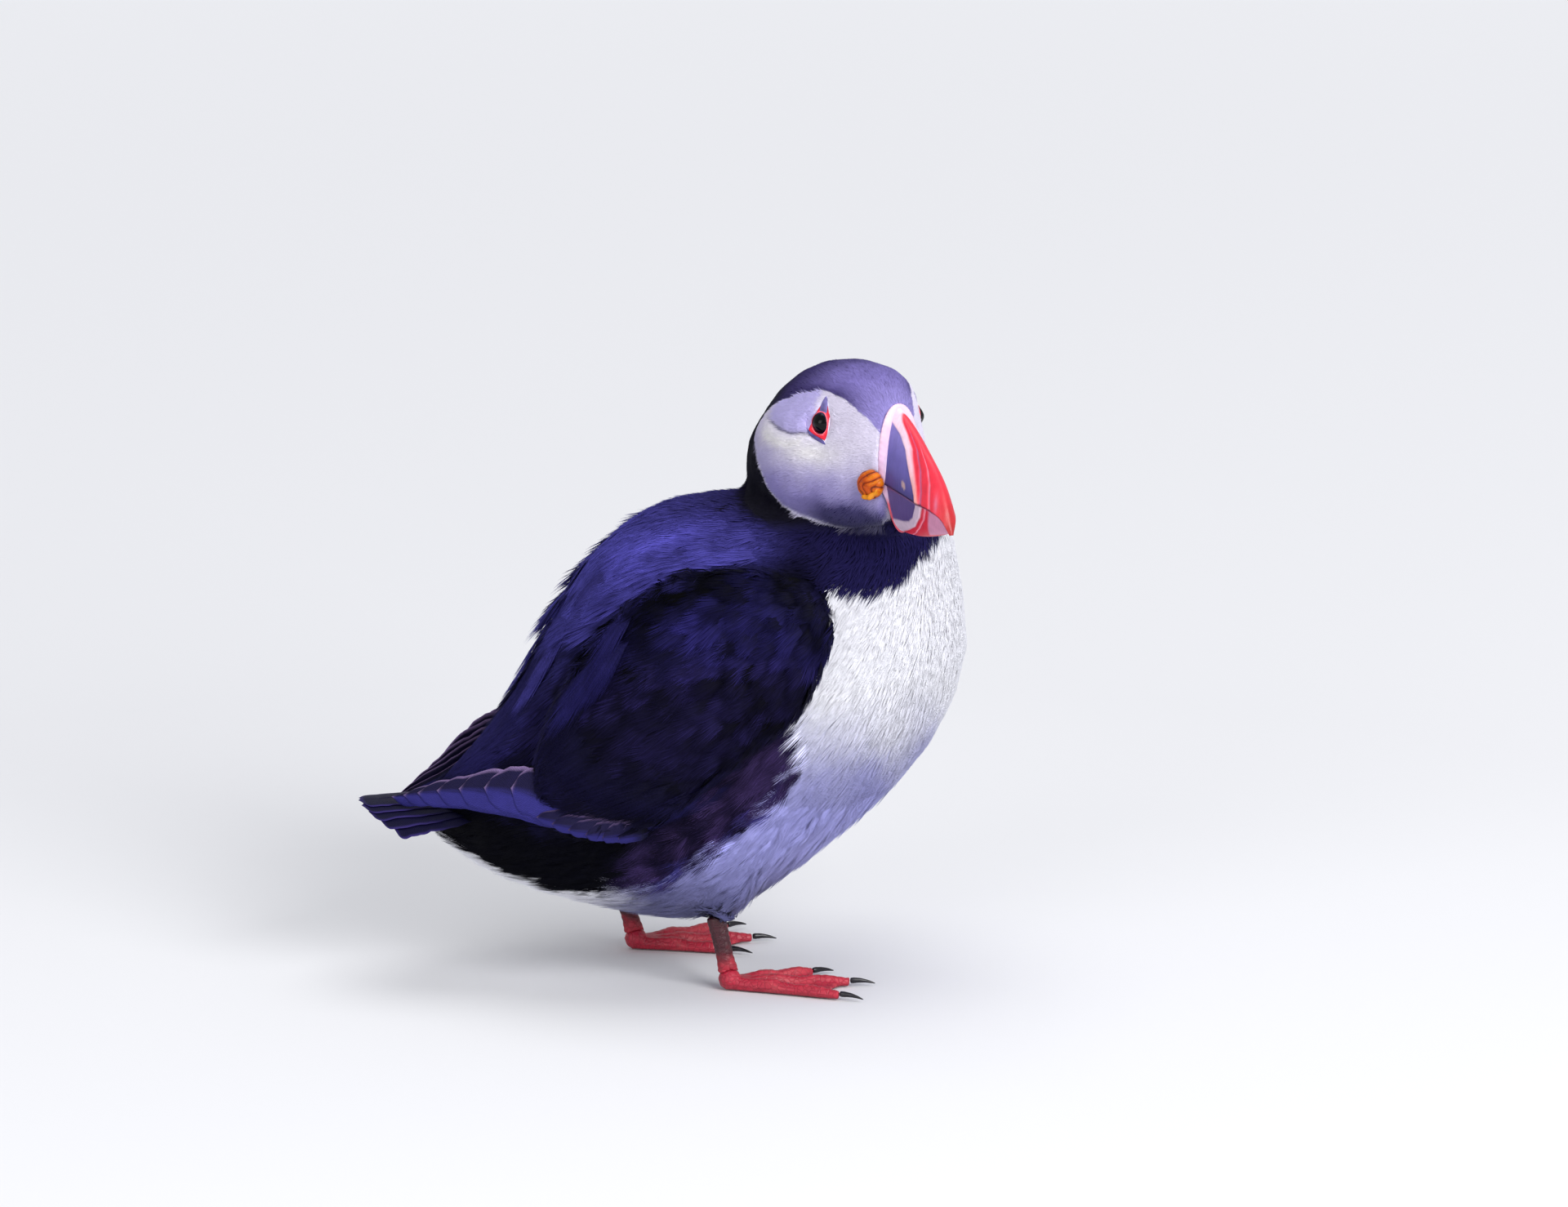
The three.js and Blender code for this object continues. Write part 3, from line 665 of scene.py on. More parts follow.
def backColour(points, patch):
    b = inBody(points)
    edge = capeEdge(points)
    colour = blendTo(shades["mantle"], shades["scapular"], smooth(-0.2, 0.8, patch) * 0.5)
    fringe = bell(edge, 8, 6) * smooth(6, -8, b[:, 0]) * smooth(0.6, -0.3, ripple(points, 5, 9))
    colour = blendTo(colour, shades["mantle"] * 1.25, fringe * 0.9)
    crest = bell(b[:, 0], -16, 19) * smooth(3, 9, edge)  # the light catches the top of the back
    top = smooth(36, 14, np.abs(b[:, 1]))[:, None]
    colour = blendTo(colour, shades["mantle"] * (1.55 + 0.9 * top), crest * 0.85)
    colour = blendTo(colour, shades["scapular"] * 0.8, smooth(-38, -60, b[:, 0]) * 0.85)
    colour = blendTo(colour, shades["collar"], smooth(132, 148, b[:, 2]))
    colour = blendTo(colour, shades["collar"], smooth(4, 18, b[:, 0]) * 0.95)
    shoulder = bell(b[:, 0], 15, 8) * bell(b[:, 2], 128, 9) * smooth(12, 22, np.abs(b[:, 1]))
    colour = blendTo(colour, shades["ink"] * 0.7, shoulder * 0.85)
    colour = blendTo(colour, shades["rump"], smooth(-56, -70, b[:, 0]))
    # dark low on the sides towards the tail: the rump's own black, with painted shade below the wing tips
    return blendTo(colour, shades["ink"] * 0.8, smooth(72, 56, b[:, 2]) * smooth(-14, -36, b[:, 0]))


def underWingColour(points, colour):
    # the brown flank, and the shade along the wing's lower edge
    b = inBody(points)
    flank = smooth(0, 3, flankDepth(points))
    mixed = blendTo(shades["flank"], shades["flankDark"], smooth(-0.5, 0.9, ripple(points, 11, 5)))
    colour = blendTo(colour, mixed, flank * smooth(-38, -24, b[:, 0]))
    below = underWing(points)
    beside = smooth(-3, 0, below) * smooth(20, 12, below)
    beside = beside * smooth(24, 16, b[:, 0]) * smooth(-66, -56, b[:, 0])
    return blendTo(colour, shades["ink"], beside * (1 - 0.75 * flank * smooth(0, 6, below)) * 0.9)


def covertColour(points, patch):
    b = inBody(points)
    colour = blendTo(shades["scapular"], shades["wing"], smooth(118, 100, b[:, 2]))
    # painted shade: the wing darkens towards its lower edge, away from the light above
    colour = blendTo(colour, shades["ink"], smooth(100, 64, b[:, 2] - 0.25 * b[:, 0]) * 0.85)
    colour = blendTo(colour, shades["ink"], smooth(-0.1, 0.8, patch) * 0.5)
    colour = blendTo(colour, shades["scapular"], smooth(-40, -58, b[:, 0] + 4 * patch) * 0.25)
    colour = blendTo(colour, shades["ink"] * 0.5, bell(b[:, 0], 17, 9) * bell(b[:, 2], 124, 10) * 0.9)
    # painted shadow: a dark band on the coverts just under the cape's edge
    gap = bell(capeEdge(points), -3.4, 3.6) * smooth(8, -4, b[:, 0]) * smooth(-54, -46, b[:, 0])
    colour = blendTo(colour, shades["ink"] * 0.3, gap)
    return colour * (0.85 + 0.5 * ripple(points, 4.2, 41))[:, None]  # single coverts lighter and darker


def bodyDark(points):
    patch = ripple(points, 13, 6)
    colour = underWingColour(points, backColour(points, patch))
    return blendTo(colour, covertColour(points, patch), smooth(-1, 1.5, wingDepth(points)))


def bodyWhite(points):
    b = inBody(points)
    # painted shade: the white turns violet-grey down the belly and darker still at the vent, where less light
    # reaches the underside
    colour = blendTo(shades["white"], shades["belly"], smooth(98, 62, b[:, 2] + 4 * ripple(points, 22, 12)))
    colour = blendTo(colour, shades["vent"], smooth(50, 28, b[:, 2]) * 0.85)
    return blendTo(colour, shades["white"] * 0.92, smooth(-20, -45, b[:, 0]))  # the undertail is pale again


def markings(points, edge=0.5, darker=0.0):
    # one colour for each point of skin or root of a feather; edge softens the borders,
    # and darker (mm) moves the dark parts' border outwards
    wobble = 0.7 * ripple(points, 6, 3) + 0.4 * ripple(points, 2.2, 4)
    head = nearHead(points)
    face = smooth(-edge, edge, faceDepth(points) + 0.3 * wobble) * smooth(-14, -11, inHead(points)[:, 0])
    dark = smooth(-edge, edge, darkDepth(points) + wobble + darker)
    body = blendTo(bodyWhite(points), bodyDark(points), dark)
    skull = blendTo(crownColour(points), faceColour(points), face)
    h = inHead(points)
    onSkull = smooth(0.35, 0.6, head) * smooth(-27, -20, h[:, 2] - 0.25 * h[:, 0])
    return blendTo(body, skull, onSkull)


# how the feathers lie

def lieOf(points, normals, seed=0, wander=0.0):
    # the way each feather points, along the surface: back from the bill, down the breast, to the tail
    h, b = inHead(points), inBody(points)
    head = smooth(0.3, 0.75, nearHead(points))
    fan = unit(h - np.array([47.0, 0, 1.0]))
    fan[:, 2] -= 0.25 + 1.3 * smooth(8, -14, h[:, 0])
    onHead = unit(fan) @ headAxes
    drop = np.interp(b[:, 0], [-90, -40, -10, 25, 50, 72], [0.2, 0.4, 0.62, 0.95, 1.7, 3.2])
    drop += 1.2 * smooth(135, 155, b[:, 2])
    over = smooth(0.2, 0.8, normals[:, 2])
    drop = drop * (1 - 0.55 * over)
    aside = -0.12 * np.sign(b[:, 1]) * smooth(-30, -80, b[:, 0])
    onBody = unit(np.stack([-np.ones(len(b)), aside, -drop], axis=1))
    lie = onHead * head[:, None] + onBody * (1 - head[:, None])
    lie = unit(lie - normals * (lie * normals).sum(axis=1, keepdims=True))
    if wander:
        across = np.cross(normals, lie)
        turn = wander * (0.65 * ripple(points, 7, seed + 1) + 0.35 * ripple(points, 2.6, seed + 2))
        lie = lie * np.cos(turn)[:, None] + across * np.sin(turn)[:, None]
    return lie


# what a feather is made of

def takeShape(piece):
    # a piece's points and faces, to lay many times over; the piece itself goes
    points = pointsOf(piece)
    faces = [tuple(face.vertices) for face in piece.data.polygons]
    bpy.data.objects.remove(piece)
    return points, faces


def gridBlade(rows, columns, thick, place):
    # a thin closed blade; place(along, across) lays it out, along 0 to 1 and across -1 to 1
    deselect()
    bpy.ops.mesh.primitive_grid_add(x_subdivisions=rows, y_subdivisions=columns, size=2)
    blade = bpy.context.object
    points = pointsOf(blade)
    movePoints(blade, place((points[:, 0] + 1) / 2, points[:, 1]))
    applyModifier(blade, "thickness", "SOLIDIFY", thickness=thick, offset=-1)
    return takeShape(blade)


def spikeTemplate(widest=0.4, flat=0.5):
    # a thin closed spike along x, with its root at 0 and its point at 1
    deselect()
    cone = {"vertices": 3, "radius1": 1, "radius2": 0, "depth": 1 - widest, "end_fill_type": "TRIFAN"}
    bpy.ops.mesh.primitive_cone_add(location=(0, 0, (1 + widest) / 2), **cone)
    bpy.ops.object.transform_apply(location=True)
    points, faces = takeShape(bpy.context.object)
    middle = (np.hypot(points[:, 0], points[:, 1]) < 1e-4) & (points[:, 2] < 0.9)
    points[middle, 2] = 0  # the middle of the wide end becomes the root
    return points[:, [2, 0, 1]] * [1, 1, flat], faces, np.ones(len(points))


fanMake = {
    "start": 0.45, "end": 1.0, "rounded": 0.25, "ragged": 0.07, "half": 0.12, "lift": 0.1, "contrast": 0.12,
}


def fanTemplate(count, seed, **changes):
    # many spikes side by side, as the barbs of one feather
    fan = {**fanMake, **changes}
    rng = np.random.default_rng(seed)
    points, faces, shade = [], [], []
    for at in np.linspace(-1, 1, count):
        base = sum(len(part) for part in points)
        strand = spike[0].copy()
        along = strand[:, 0].copy()
        strand[:, 0] *= 1 - fan["rounded"] * at * at + rng.normal(0, fan["ragged"])
        spread = at * (fan["start"] + (fan["end"] - fan["start"]) * along**0.8)
        strand[:, 1] = strand[:, 1] * fan["half"] + spread + rng.normal(0, 0.05) * along**2
        lift = fan["lift"] * along * rng.uniform(-0.6, 1)
        strand[:, 2] = strand[:, 2] * fan["half"] + lift - 0.12 * at * at * along
        points.append(strand)
        faces += [tuple(corner + base for corner in face) for face in spike[1]]
        shade.append(np.full(len(strand), rng.uniform(1 - fan["contrast"], 1 + fan["contrast"])))
    return np.vstack(points), faces, np.concatenate(shade)


def vaneTemplate(rows, columns, outline, notches, thick):
    # a cambered blade; outline gives its half width along it, notches its ragged tip
    def place(along, across):
        along = along**0.8
        tip = np.interp(across, np.linspace(-1, 1, len(notches)), notches)
        reach = along * (1 + (tip - 1) * smooth(0.5, 1.0, along))
        wide = np.interp(along, *zip(*outline))
        return np.stack([reach, across * wide, -0.2 * across**2], axis=1)

    points, faces = gridBlade(rows, columns, thick, place)
    shaft = 1 + 0.25 * bell(points[:, 1], 0, 0.05)
    return points, faces, shaft


bakePatch = 0.003  # the size of each feather's own patch on the bake map


def joinedCoat(name, template, spine, normals, widths, heights, uv, colours, tipColours, relief=0.4):
    # lays a copy of the template along every spine and joins them all in one mesh
    points, faces, shade = template
    count, size, stations = len(uv), len(points), spine.shape[1]
    along = np.clip(points[:, 0], 0, 1.1)
    place = np.clip(along, 0, 0.9999) * (stations - 1)
    index = place.astype(int)
    share = (along * (stations - 1) - index)[None, :, None]
    middle = spine[:, index] * (1 - share) + spine[:, index + 1] * share
    up = unit(normals[:, index] * (1 - share) + normals[:, index + 1] * share)
    forward = unit(spine[:, index + 1] - spine[:, index])
    aside = unit(np.cross(up, forward))
    raised = np.interp(along, np.linspace(0, 1, heights.shape[1]), heights.mean(axis=0))
    lift = raised * (heights[:, -1:] / max(heights[:, -1].mean(), 1e-9))
    wide = widths[:, None] * points[None, :, 1]
    over = widths[:, None] * points[None, :, 2] + lift
    placed = middle + aside * (wide * mm)[..., None] + up * (over * mm)[..., None]
    mesh = bpy.data.meshes.new(name)
    starts, corners = [], []
    for face in faces:
        starts.append(len(corners))
        corners += face
    corners, starts = np.array(corners), np.array(starts)
    offset = np.arange(count)[:, None]
    mesh.vertices.add(count * size)
    mesh.vertices.foreach_set("co", placed.ravel())
    mesh.loops.add(count * len(corners))
    mesh.loops.foreach_set("vertex_index", (corners[None] + offset * size).ravel().astype(np.int32))
    mesh.polygons.add(count * len(starts))
    mesh.polygons.foreach_set("loop_start", (starts[None] + offset * len(corners)).ravel().astype(np.int32))
    mesh.polygons.foreach_set("use_smooth", np.ones(count * len(starts), bool))
    mesh.update(calc_edges=True)
    mesh.validate()
    own = np.empty(count * size * 3)
    mesh.vertex_normals.foreach_get("vector", own)
    soft = unit(up.reshape(-1, 3) * (1 - relief) + own.reshape(-1, 3) * relief)
    mesh.attributes.new("custom_normal", "FLOAT_VECTOR", "POINT").data.foreach_set("vector", soft.ravel())
    bake = mesh.uv_layers.new(name="OFBake")
    local = (points[corners][:, :2] * [1, 0.5] + [-0.5, 0]) * bakePatch
    bake.data.foreach_set("uv", (uv[:, None] + local[None]).ravel())
    lie = mesh.uv_layers.new(name="lie")
    flat = np.stack([points[corners][:, 1] * 0.5 + 0.5, points[corners][:, 0]], axis=1)
    lie.data.foreach_set("uv", np.tile(flat.ravel(), count))
    tone = mesh.color_attributes.new(name="tone", type="FLOAT_COLOR", domain="POINT")
    values = np.ones((count, size, 4))
    toTip = smooth(0.35, 1.0, along)[None, :, None]
    values[..., :3] = (colours[:, None] * (1 - toTip) + tipColours[:, None] * toTip) * shade[None, :, None]
    tone.data.foreach_set("color", values.ravel())
    piece = bpy.data.objects.new(name, mesh)
    bpy.context.collection.objects.link(piece)
    print(" ", name, count, "laid,", count * sum(len(face) - 2 for face in faces), "triangles")
    return piece


def growSpines(points, normals, lengths, stations, lieAt, lean):
    # steps along the surface from each root, the way the feathers lie there
    spots, ups, at, up = [points], [normals], points, normals
    for _ in range(stations):
        lie = lieAt(at, up)
        lie = lie * np.cos(lean)[:, None] + np.cross(up, lie) * np.sin(lean)[:, None]
        at, up = surface.nearest(at + lie * (lengths / stations)[:, None] * mm)
        spots.append(at)
        ups.append(up)
        lean = lean * 0.7
    return np.stack(spots, axis=1), np.stack(ups, axis=1)


flowSeed = 40


def layCoat(name, template, tract, material):
    # sows, grows and joins one tract of the coat
    seed = tract["seed"]
    rng = np.random.default_rng(seed)
    points, normals, uv = surface.sow(tract["spacing"], tract["where"], seed)
    count = len(points)
    lengths = tract["length"](points) * rng.uniform(0.8, 1.2, count)
    lean = rng.normal(0, tract["scatter"], count)
    stations = tract.get("stations", 3)

    def lieAt(at, up):
        return lieOf(at, up, flowSeed, tract["wander"])

    if "clear" in tract:  # none may reach over what it has to leave clear
        tip = points + lieAt(points, normals) * lengths[:, None] * mm
        room, beyond = tract["clear"](points), tract["clear"](tip)
        cut = np.where(beyond < 0, room / np.maximum(room - beyond, 1e-6), 1)
        lengths = lengths * np.clip(cut, 0.2, 1)
    spine, upward = growSpines(points, normals, lengths, stations, lieAt, lean)
    widths = tract["width"](points) * rng.uniform(0.8, 1.2, count)
    rise = tract["rise"](points) * rng.uniform(0.7, 1.3, count)
    profile = np.array(tract.get("profile", [-0.25, 0.45, 0.8, 1.0]))
    heights = rise[:, None] * profile[None]
    colours = markings(points, tract.get("edge", 0.35), tract.get("darker", 0.0))
    colours = colours * rng.normal(1, tract["vary"], (count, 1)).clip(0.6, 1.5)
    tips = colours * tract.get("tipGain", 1.0)
    relief = tract.get("relief", 0.4)
    piece = joinedCoat(name, template, spine, upward, widths, heights, uv, colours, tips, relief)
    return hand(piece, material, "feathers")


# the skin's own finish

skinLook = {"blotch": 0.12, "bump": 0.25, "rough": 0.7}


def skinMaterial():
    made = Nodes("down over the skin")
    place = made.place()
    fine = made.noise(place, 900.0, 4.0, 0.6)
    grain = made.span(fine, 0.3, 0.7, 1 - skinLook["blotch"], 1 + skinLook["blotch"])
    made.set(Base_Color=made.toned(grain), Normal=made.bump(fine, skinLook["bump"] * mm))
    made.set(Specular_IOR_Level=0.05)
    made.set(Roughness=made.span(fine, 0.3, 0.7, skinLook["rough"] - 0.08, skinLook["rough"] + 0.08))
    return made.material


skinTone = markings(surface.points) * 0.93
deeper = 0.65 * smooth(0.2, 0.05, skinTone.mean(axis=1))  # where the feathers over it are dark
skinTone *= 1 - deeper[:, None]
paint(skin, skinTone)
hand(skin, skinMaterial(), "feathers", *skinMake["flesh"])

# the coat, tract by tract

fineFace = {"streak": 0.0, "bump": 0.02, "fineScale": 2500.0}
looseDark = {"streak": 0.0, "bump": 0.03, "gloss": 0.05, "sheen": 0.01}


def finish(name, **look):
    return plumageMaterial(name, {**plainLook, **look})


downy = finish("downy feathers", rootShade=0.9, blotch=0.04, streak=0.0)
velvet = finish("velvet face feathers", rootShade=0.92, blotch=0.05, **fineFace)
cap = finish("dark cap feathers", rootShade=0.85, blotch=0.07, gloss=0.08, sheen=0.03, **fineFace)
sooty = finish("sooty down", rootShade=0.75, blotch=0.1, rough=0.66, **looseDark)
sleek = finish("sleek dark feathers", rootShade=0.55, blotch=0.16, blotchScale=110.0, rough=0.6, **looseDark)
vaneLook = {"rootShade": 0.6, "streak": 0.16, "barbs": 150.0, "barbHeight": 0.6, "bump": 0.05}
barbed = finish("barbed dark vanes", rough=0.55, gloss=0.05, sheen=0.0, **vaneLook)

spike = spikeTemplate()
tuft = fanTemplate(9, 1, start=0.5, end=1.0, rounded=0.26, ragged=0.1, half=0.12, lift=0.1, contrast=0.05)
brush = fanTemplate(11, 5, start=0.5, end=1.1, rounded=0.3, ragged=0.12, half=0.09, lift=0.12, contrast=0.3)
covert = fanTemplate(26, 2, start=0.35, rounded=0.34, ragged=0.05, half=0.07, lift=0.08, contrast=0.35)
plume = fanTemplate(22, 3, start=0.3, end=1.0, rounded=0.4, ragged=0.1, half=0.07, lift=0.16, contrast=0.28)


def clearOfFace(points):
    # distance from the eyes, rosettes and bill rim, where no feather grows
    h = inHead(points)
    clear = np.full(len(points), 9.0)
    for side in sides.values():
        e = inEye(points, side)
        ahead = 0.45 * smooth(0, 2, e[:, 0])  # the feathers in front lean back towards the eye
        eye = -insideOutline(e[:, 0], e[:, 1], eyeOpening) - ahead
        rosette = np.linalg.norm(h - np.array([39.6, side * 9.9, -3.4]), axis=1) - 3.9
        clear = least(clear, np.maximum(eye, -e[:, 2] - 8), rosette)
    rimLine = np.interp(h[:, 2], [-18, 20], [42.4, 37.6])
    return np.minimum(clear, rimLine - 0.2 - h[:, 0])


def onHeadPart(points):
    h = inHead(points)
    return np.minimum((nearHead(points) - 0.55) * 20, (h[:, 2] - 0.25 * h[:, 0] + 25) * 0.5)


def bodyPart(points):
    return -onHeadPart(points)


def even(value):
    return lambda points: np.full(len(points), float(value))


def frontOfWing(points):
    b = inBody(points)
    return -insideOutline(b[:, 0], b[:, 2], wingOutline) - 1.5


def half(tract, side):
    # the part of a tract on one side of the body
    where = lambda p: least(tract["where"](p), side * inBody(p)[:, 1])
    return {**tract, "seed": tract["seed"] + 100 + 50 * side, "where": where}


def nearBare(points):
    # feathers shorten towards the bare parts of the face
    return 0.45 + 0.55 * smooth(0.1, 2.2, clearOfFace(points))


def bodyX(points):
    return inBody(points)[:, 0]


def bodyZ(points):
    return inBody(points)[:, 2]


def headX(points):
    return inHead(points)[:, 0]


def atFaceEdge(points):
    return 0.55 + 0.45 * smooth(0, 3.5, faceDepth(points))


# "where" is above 0 inside a tract; sizes are in millimetres, scatter and wander in radians
spikes = {"stations": 2, "profile": [-0.3, 0.55, 1.0]}
faceTract = {
    **spikes, "seed": 11, "spacing": 0.385, "wander": 0.25, "scatter": 0.12, "vary": 0.03, "relief": 0.2,
    "where": lambda p: least(onHeadPart(p), clearOfFace(p), faceDepth(p)), "clear": clearOfFace,
    "length": lambda p: (1.7 + 0.8 * smooth(30, 5, headX(p))) * nearBare(p) * atFaceEdge(p),
    "width": even(0.135), "rise": lambda p: 0.5 * nearBare(p), "edge": 0.2,
}
crownTract = {
    **spikes, "seed": 12, "spacing": 0.41, "wander": 0.25, "scatter": 0.12, "vary": 0.045, "relief": 0.16,
    "where": lambda p: least(onHeadPart(p), clearOfFace(p), -faceDepth(p)), "clear": clearOfFace,
    "length": lambda p: (1.8 + 1.3 * smooth(30, 0, headX(p))) * nearBare(p),
    "width": even(0.14), "rise": lambda p: 0.4 * nearBare(p), "edge": 0.2, "tipGain": 1.12,
}
collarTract = {
    **spikes, "seed": 13, "spacing": 0.6, "wander": 0.3, "scatter": 0.16, "vary": 0.12, "relief": 0.3,
    "where": lambda p: least(bodyPart(p), collarDepth(p), np.maximum(bodyX(p) - 4, bodyZ(p) - 146)),
    "length": even(4.8), "width": even(0.2), "rise": even(1.3), "tipGain": 1.2, "edge": 0.3,
}
breastTract = {
    **spikes, "seed": 14, "spacing": 0.6, "wander": 0.22, "scatter": 0.08, "vary": 0.01, "relief": 0.06,
    "where": lambda p: least(bodyPart(p), -darkDepth(p), bodyZ(p) - 60, frontOfWing(p)),
    "length": lambda p: 6.0 + 3.5 * smooth(110, 70, bodyZ(p)), "width": even(0.28),
    "rise": lambda p: 0.75 + 0.7 * smooth(110, 75, bodyZ(p)), "profile": [-0.2, 0.7, 1.0],
}
bellyTract = {
    "seed": 15, "spacing": 2.0, "wander": 0.45, "scatter": 0.18, "vary": 0.03, "relief": 0.2,
    "where": lambda p: least(bodyPart(p), -darkDepth(p), 61 - bodyZ(p)),
    "length": even(13.5), "width": even(1.7), "rise": even(2.0), "tipGain": 1.08,
}
flankTract = {
    "seed": 16, "spacing": 1.55, "wander": 0.7, "scatter": 0.25, "vary": 0.25, "relief": 0.35,
    "where": lambda p: least(flankDepth(p), 24 - bodyX(p)),
    "length": even(13.5), "width": even(1.7), "rise": even(2.2), "tipGain": 1.5,
}
rumpSideTract = {
    "seed": 17, "spacing": 1.9, "wander": 0.3, "scatter": 0.16, "vary": 0.15,
    "where": lambda p: least(darkDepth(p), underWing(p) + 3, -34 - bodyX(p)),
    "length": even(10.0), "width": even(1.4), "rise": even(2.3),
}
mantleTract = {  # fine and velvety over the shoulders and back
    **spikes, "seed": 18, "spacing": 0.85, "wander": 0.35, "scatter": 0.14, "vary": 0.14, "relief": 0.35,
    "where": lambda p: least(
        darkDepth(p), -2 - underWing(p), bodyPart(p), 14 - bodyX(p),
        np.maximum(capeEdge(p) - 2, 1.5 - wingDepth(p)),
    ),
    "length": lambda p: 5.5 + 3.5 * smooth(0, -50, bodyX(p)), "width": even(0.3), "darker": 3.0,
    "rise": lambda p: 1.5 - 0.5 * smooth(-10, -45, bodyX(p)), "tipGain": 1.3, "profile": [-0.3, 0.6, 1.0],
}
scapularTract = {  # long, loose plumes along the cape's edge
    "seed": 23, "spacing": 2.7, "wander": 0.35, "scatter": 0.18, "vary": 0.2, "relief": 0.35, "darker": 3.0,
    "where": lambda p: least(
        19 - capeEdge(p), capeEdge(p) - 1, 4 - bodyX(p), bodyX(p) + 66, np.abs(inBody(p)[:, 1]) - 10,
    ),
    "length": lambda p: 13 + 4 * smooth(-10, -45, bodyX(p)), "width": even(3.3),
    "rise": lambda p: 1.1 + 3.5 * smooth(11, 3, capeEdge(p)), "tipGain": 1.7,
}
wingTract = {
    "seed": 19, "spacing": 2.9, "wander": 0.4, "scatter": 0.16, "vary": 0.32, "relief": 0.35, "darker": 3.0,
    "where": wingDepth, "length": lambda p: 10 + 6 * smooth(10, -40, bodyX(p)),
    "width": lambda p: 3.0 + 1.4 * smooth(10, -40, bodyX(p)), "rise": even(2.2), "tipGain": 1.9,
}

print("coat")
layCoat("coat_face", spike, faceTract, velvet)
layCoat("coat_crown", spike, crownTract, cap)
layCoat("coat_collar", spike, collarTract, sooty)
layCoat("coat_belly", tuft, bellyTract, downy)
layCoat("coat_flank", brush, flankTract, sooty)
layCoat("coat_rump_side", tuft, rumpSideTract, sooty)
for label, side in sides.items():
    layCoat(f"coat_mantle_{label}", spike, half(mantleTract, side), sleek)
    layCoat(f"coat_scapular_{label}", plume, half(scapularTract, side), sleek)
    layCoat(f"coat_breast_{label}", spike, half(breastTract, side), downy)
    layCoat(f"coat_wing_{label}", covert, half(wingTract, side), sleek)

# long feathers laid one by one

vaneOutline = [(0, 0.45), (0.25, 0.9), (0.6, 1.0), (0.8, 0.9), (0.93, 0.6), (1.0, 0.25)]
longVane = vaneTemplate(12, 6, vaneOutline, [0.94, 1.0, 0.97, 1.03, 0.98, 1.01, 0.92], 0.09)
barbFan = fanTemplate(34, 4, start=0.3, rounded=0.3, ragged=0.03, half=0.055, lift=0.05, contrast=0.2)

# Each row runs from one tip to the next along a line: x and z of the tips seen from beside the bird,
# the way they point in degrees (180 is straight back), length, half width and lift.
featherRows = {
    "secondary": {
        "tips": [[-64, 53.5], [-52, 51.5], [-38, 54], [-26, 59]], "aim": [186, 190, 196, 205],
        "count": 9, "length": 30, "half": 3.4, "lift": 2.4, "vane": longVane,
        "tone": (20, 18, 56), "tip": 1.2,
    },
    "greater": {
        "tips": [[-67, 87], [-68.5, 78], [-65, 70], [-56, 64.5], [-44, 60], [-30, 62], [-16, 69]],
        "aim": [238, 228, 212, 203, 200, 205, 212],
        "count": 24, "length": 21, "half": 4.0, "lift": 3.0, "vane": barbFan,
        "tone": (14, 12, 38), "tip": 1.9,
    },
    "tertial": {
        "tips": [[-70, 84], [-64, 92], [-58, 94], [-51, 103]], "aim": [236, 236, 240, 238],
        "count": 9, "length": 26, "half": 4.4, "lift": 3.4, "vane": barbFan,
        "tone": (28, 25, 72), "tip": 1.9,
    },
    "back": {
        "tips": [[-72, 80], [-66, 89], [-59, 99], [-50, 110]], "aim": [238, 238, 236, 232], "aside": 12,
        "count": 8, "length": 23, "half": 4.2, "lift": 2.8, "vane": barbFan,
        "tone": (54, 50, 116), "tip": 1.7,
    },
}
beyondFlank = 44.0  # how far out a row starts before it is brought in to the body
rowSeed = 300


def layRow(name, row, side, seed):
    rng = np.random.default_rng(seed)
    count, line = row["count"], np.array(row["tips"])
    share = (np.arange(count) + 0.5) / count * (len(line) - 1)
    tips = np.stack([np.interp(share, np.arange(len(line)), line[:, k]) for k in (0, 1)], axis=1)
    aim = np.interp(share, np.arange(len(row["aim"])), row["aim"]) + rng.normal(0, 3, count)
    aim = np.radians(aim)
    lengths = row["length"] * rng.uniform(0.9, 1.1, count)
    roots = tips - np.stack([np.cos(aim), np.sin(aim)], axis=1) * lengths[:, None]
    aside = np.full(count, row.get("aside", beyondFlank) * side)
    points, normals = surface.nearest(fromBody(np.stack([roots[:, 0], aside, roots[:, 1]], axis=1)))
    way = np.stack([np.cos(aim), 0 * aim, np.sin(aim)], axis=1)

    def lieAt(at, up):
        return unit(way - up * (way * up).sum(axis=1, keepdims=True))

    spine, upward = growSpines(points, normals, lengths, 4, lieAt, np.zeros(count))
    order = rng.uniform(0.9, 1.1, count)
    heights = (row["lift"] * order)[:, None] * np.array([[0.1, 0.7, 0.9, 1.0, 1.05]])
    uv = surface.unwrapAt(points)
    base = tint(*row["tone"])[None] * rng.normal(1, 0.12, (count, 1)).clip(0.7, 1.3)
    widths = row["half"] * rng.uniform(0.9, 1.1, count)
    piece = joinedCoat(name, row["vane"], spine, upward, widths, heights, uv, base, base * row["tip"], 0.5)
    return hand(piece, barbed, "feathers")


for label, side in sides.items():
    for number, (rowName, row) in enumerate(featherRows.items()):
        layRow(f"{rowName}_feathers_{label}", row, side, rowSeed + number)

billMake = {
    "culmen": [[37.6, 19], [45.5, 15], [54.5, 9.3], [63, 2.9], [68.6, -4.8], [72.2, -12.8]],
    "mouth": [[42.6, -3], [51, -4.3], [59, -5.8], [65.5, -6.9], [69.6, -9], [71.6, -13.1]],
    "gonys": [[42.4, -17.2], [52, -16.9], [61.8, -15.2], [69, -13.2]],
    "upperHalf": [6.9, 6.2, 5.1, 3.9, 2.4, 0.7], "lowerHalf": [6.2, 5.2, 3.7, 1.2],
    "ridge": 0.4, "sunk": 0.12, "furrow": 0.32, "furrowReach": 0.013,
    "shellEnd": 0.88, "grid": (260, 132),
}
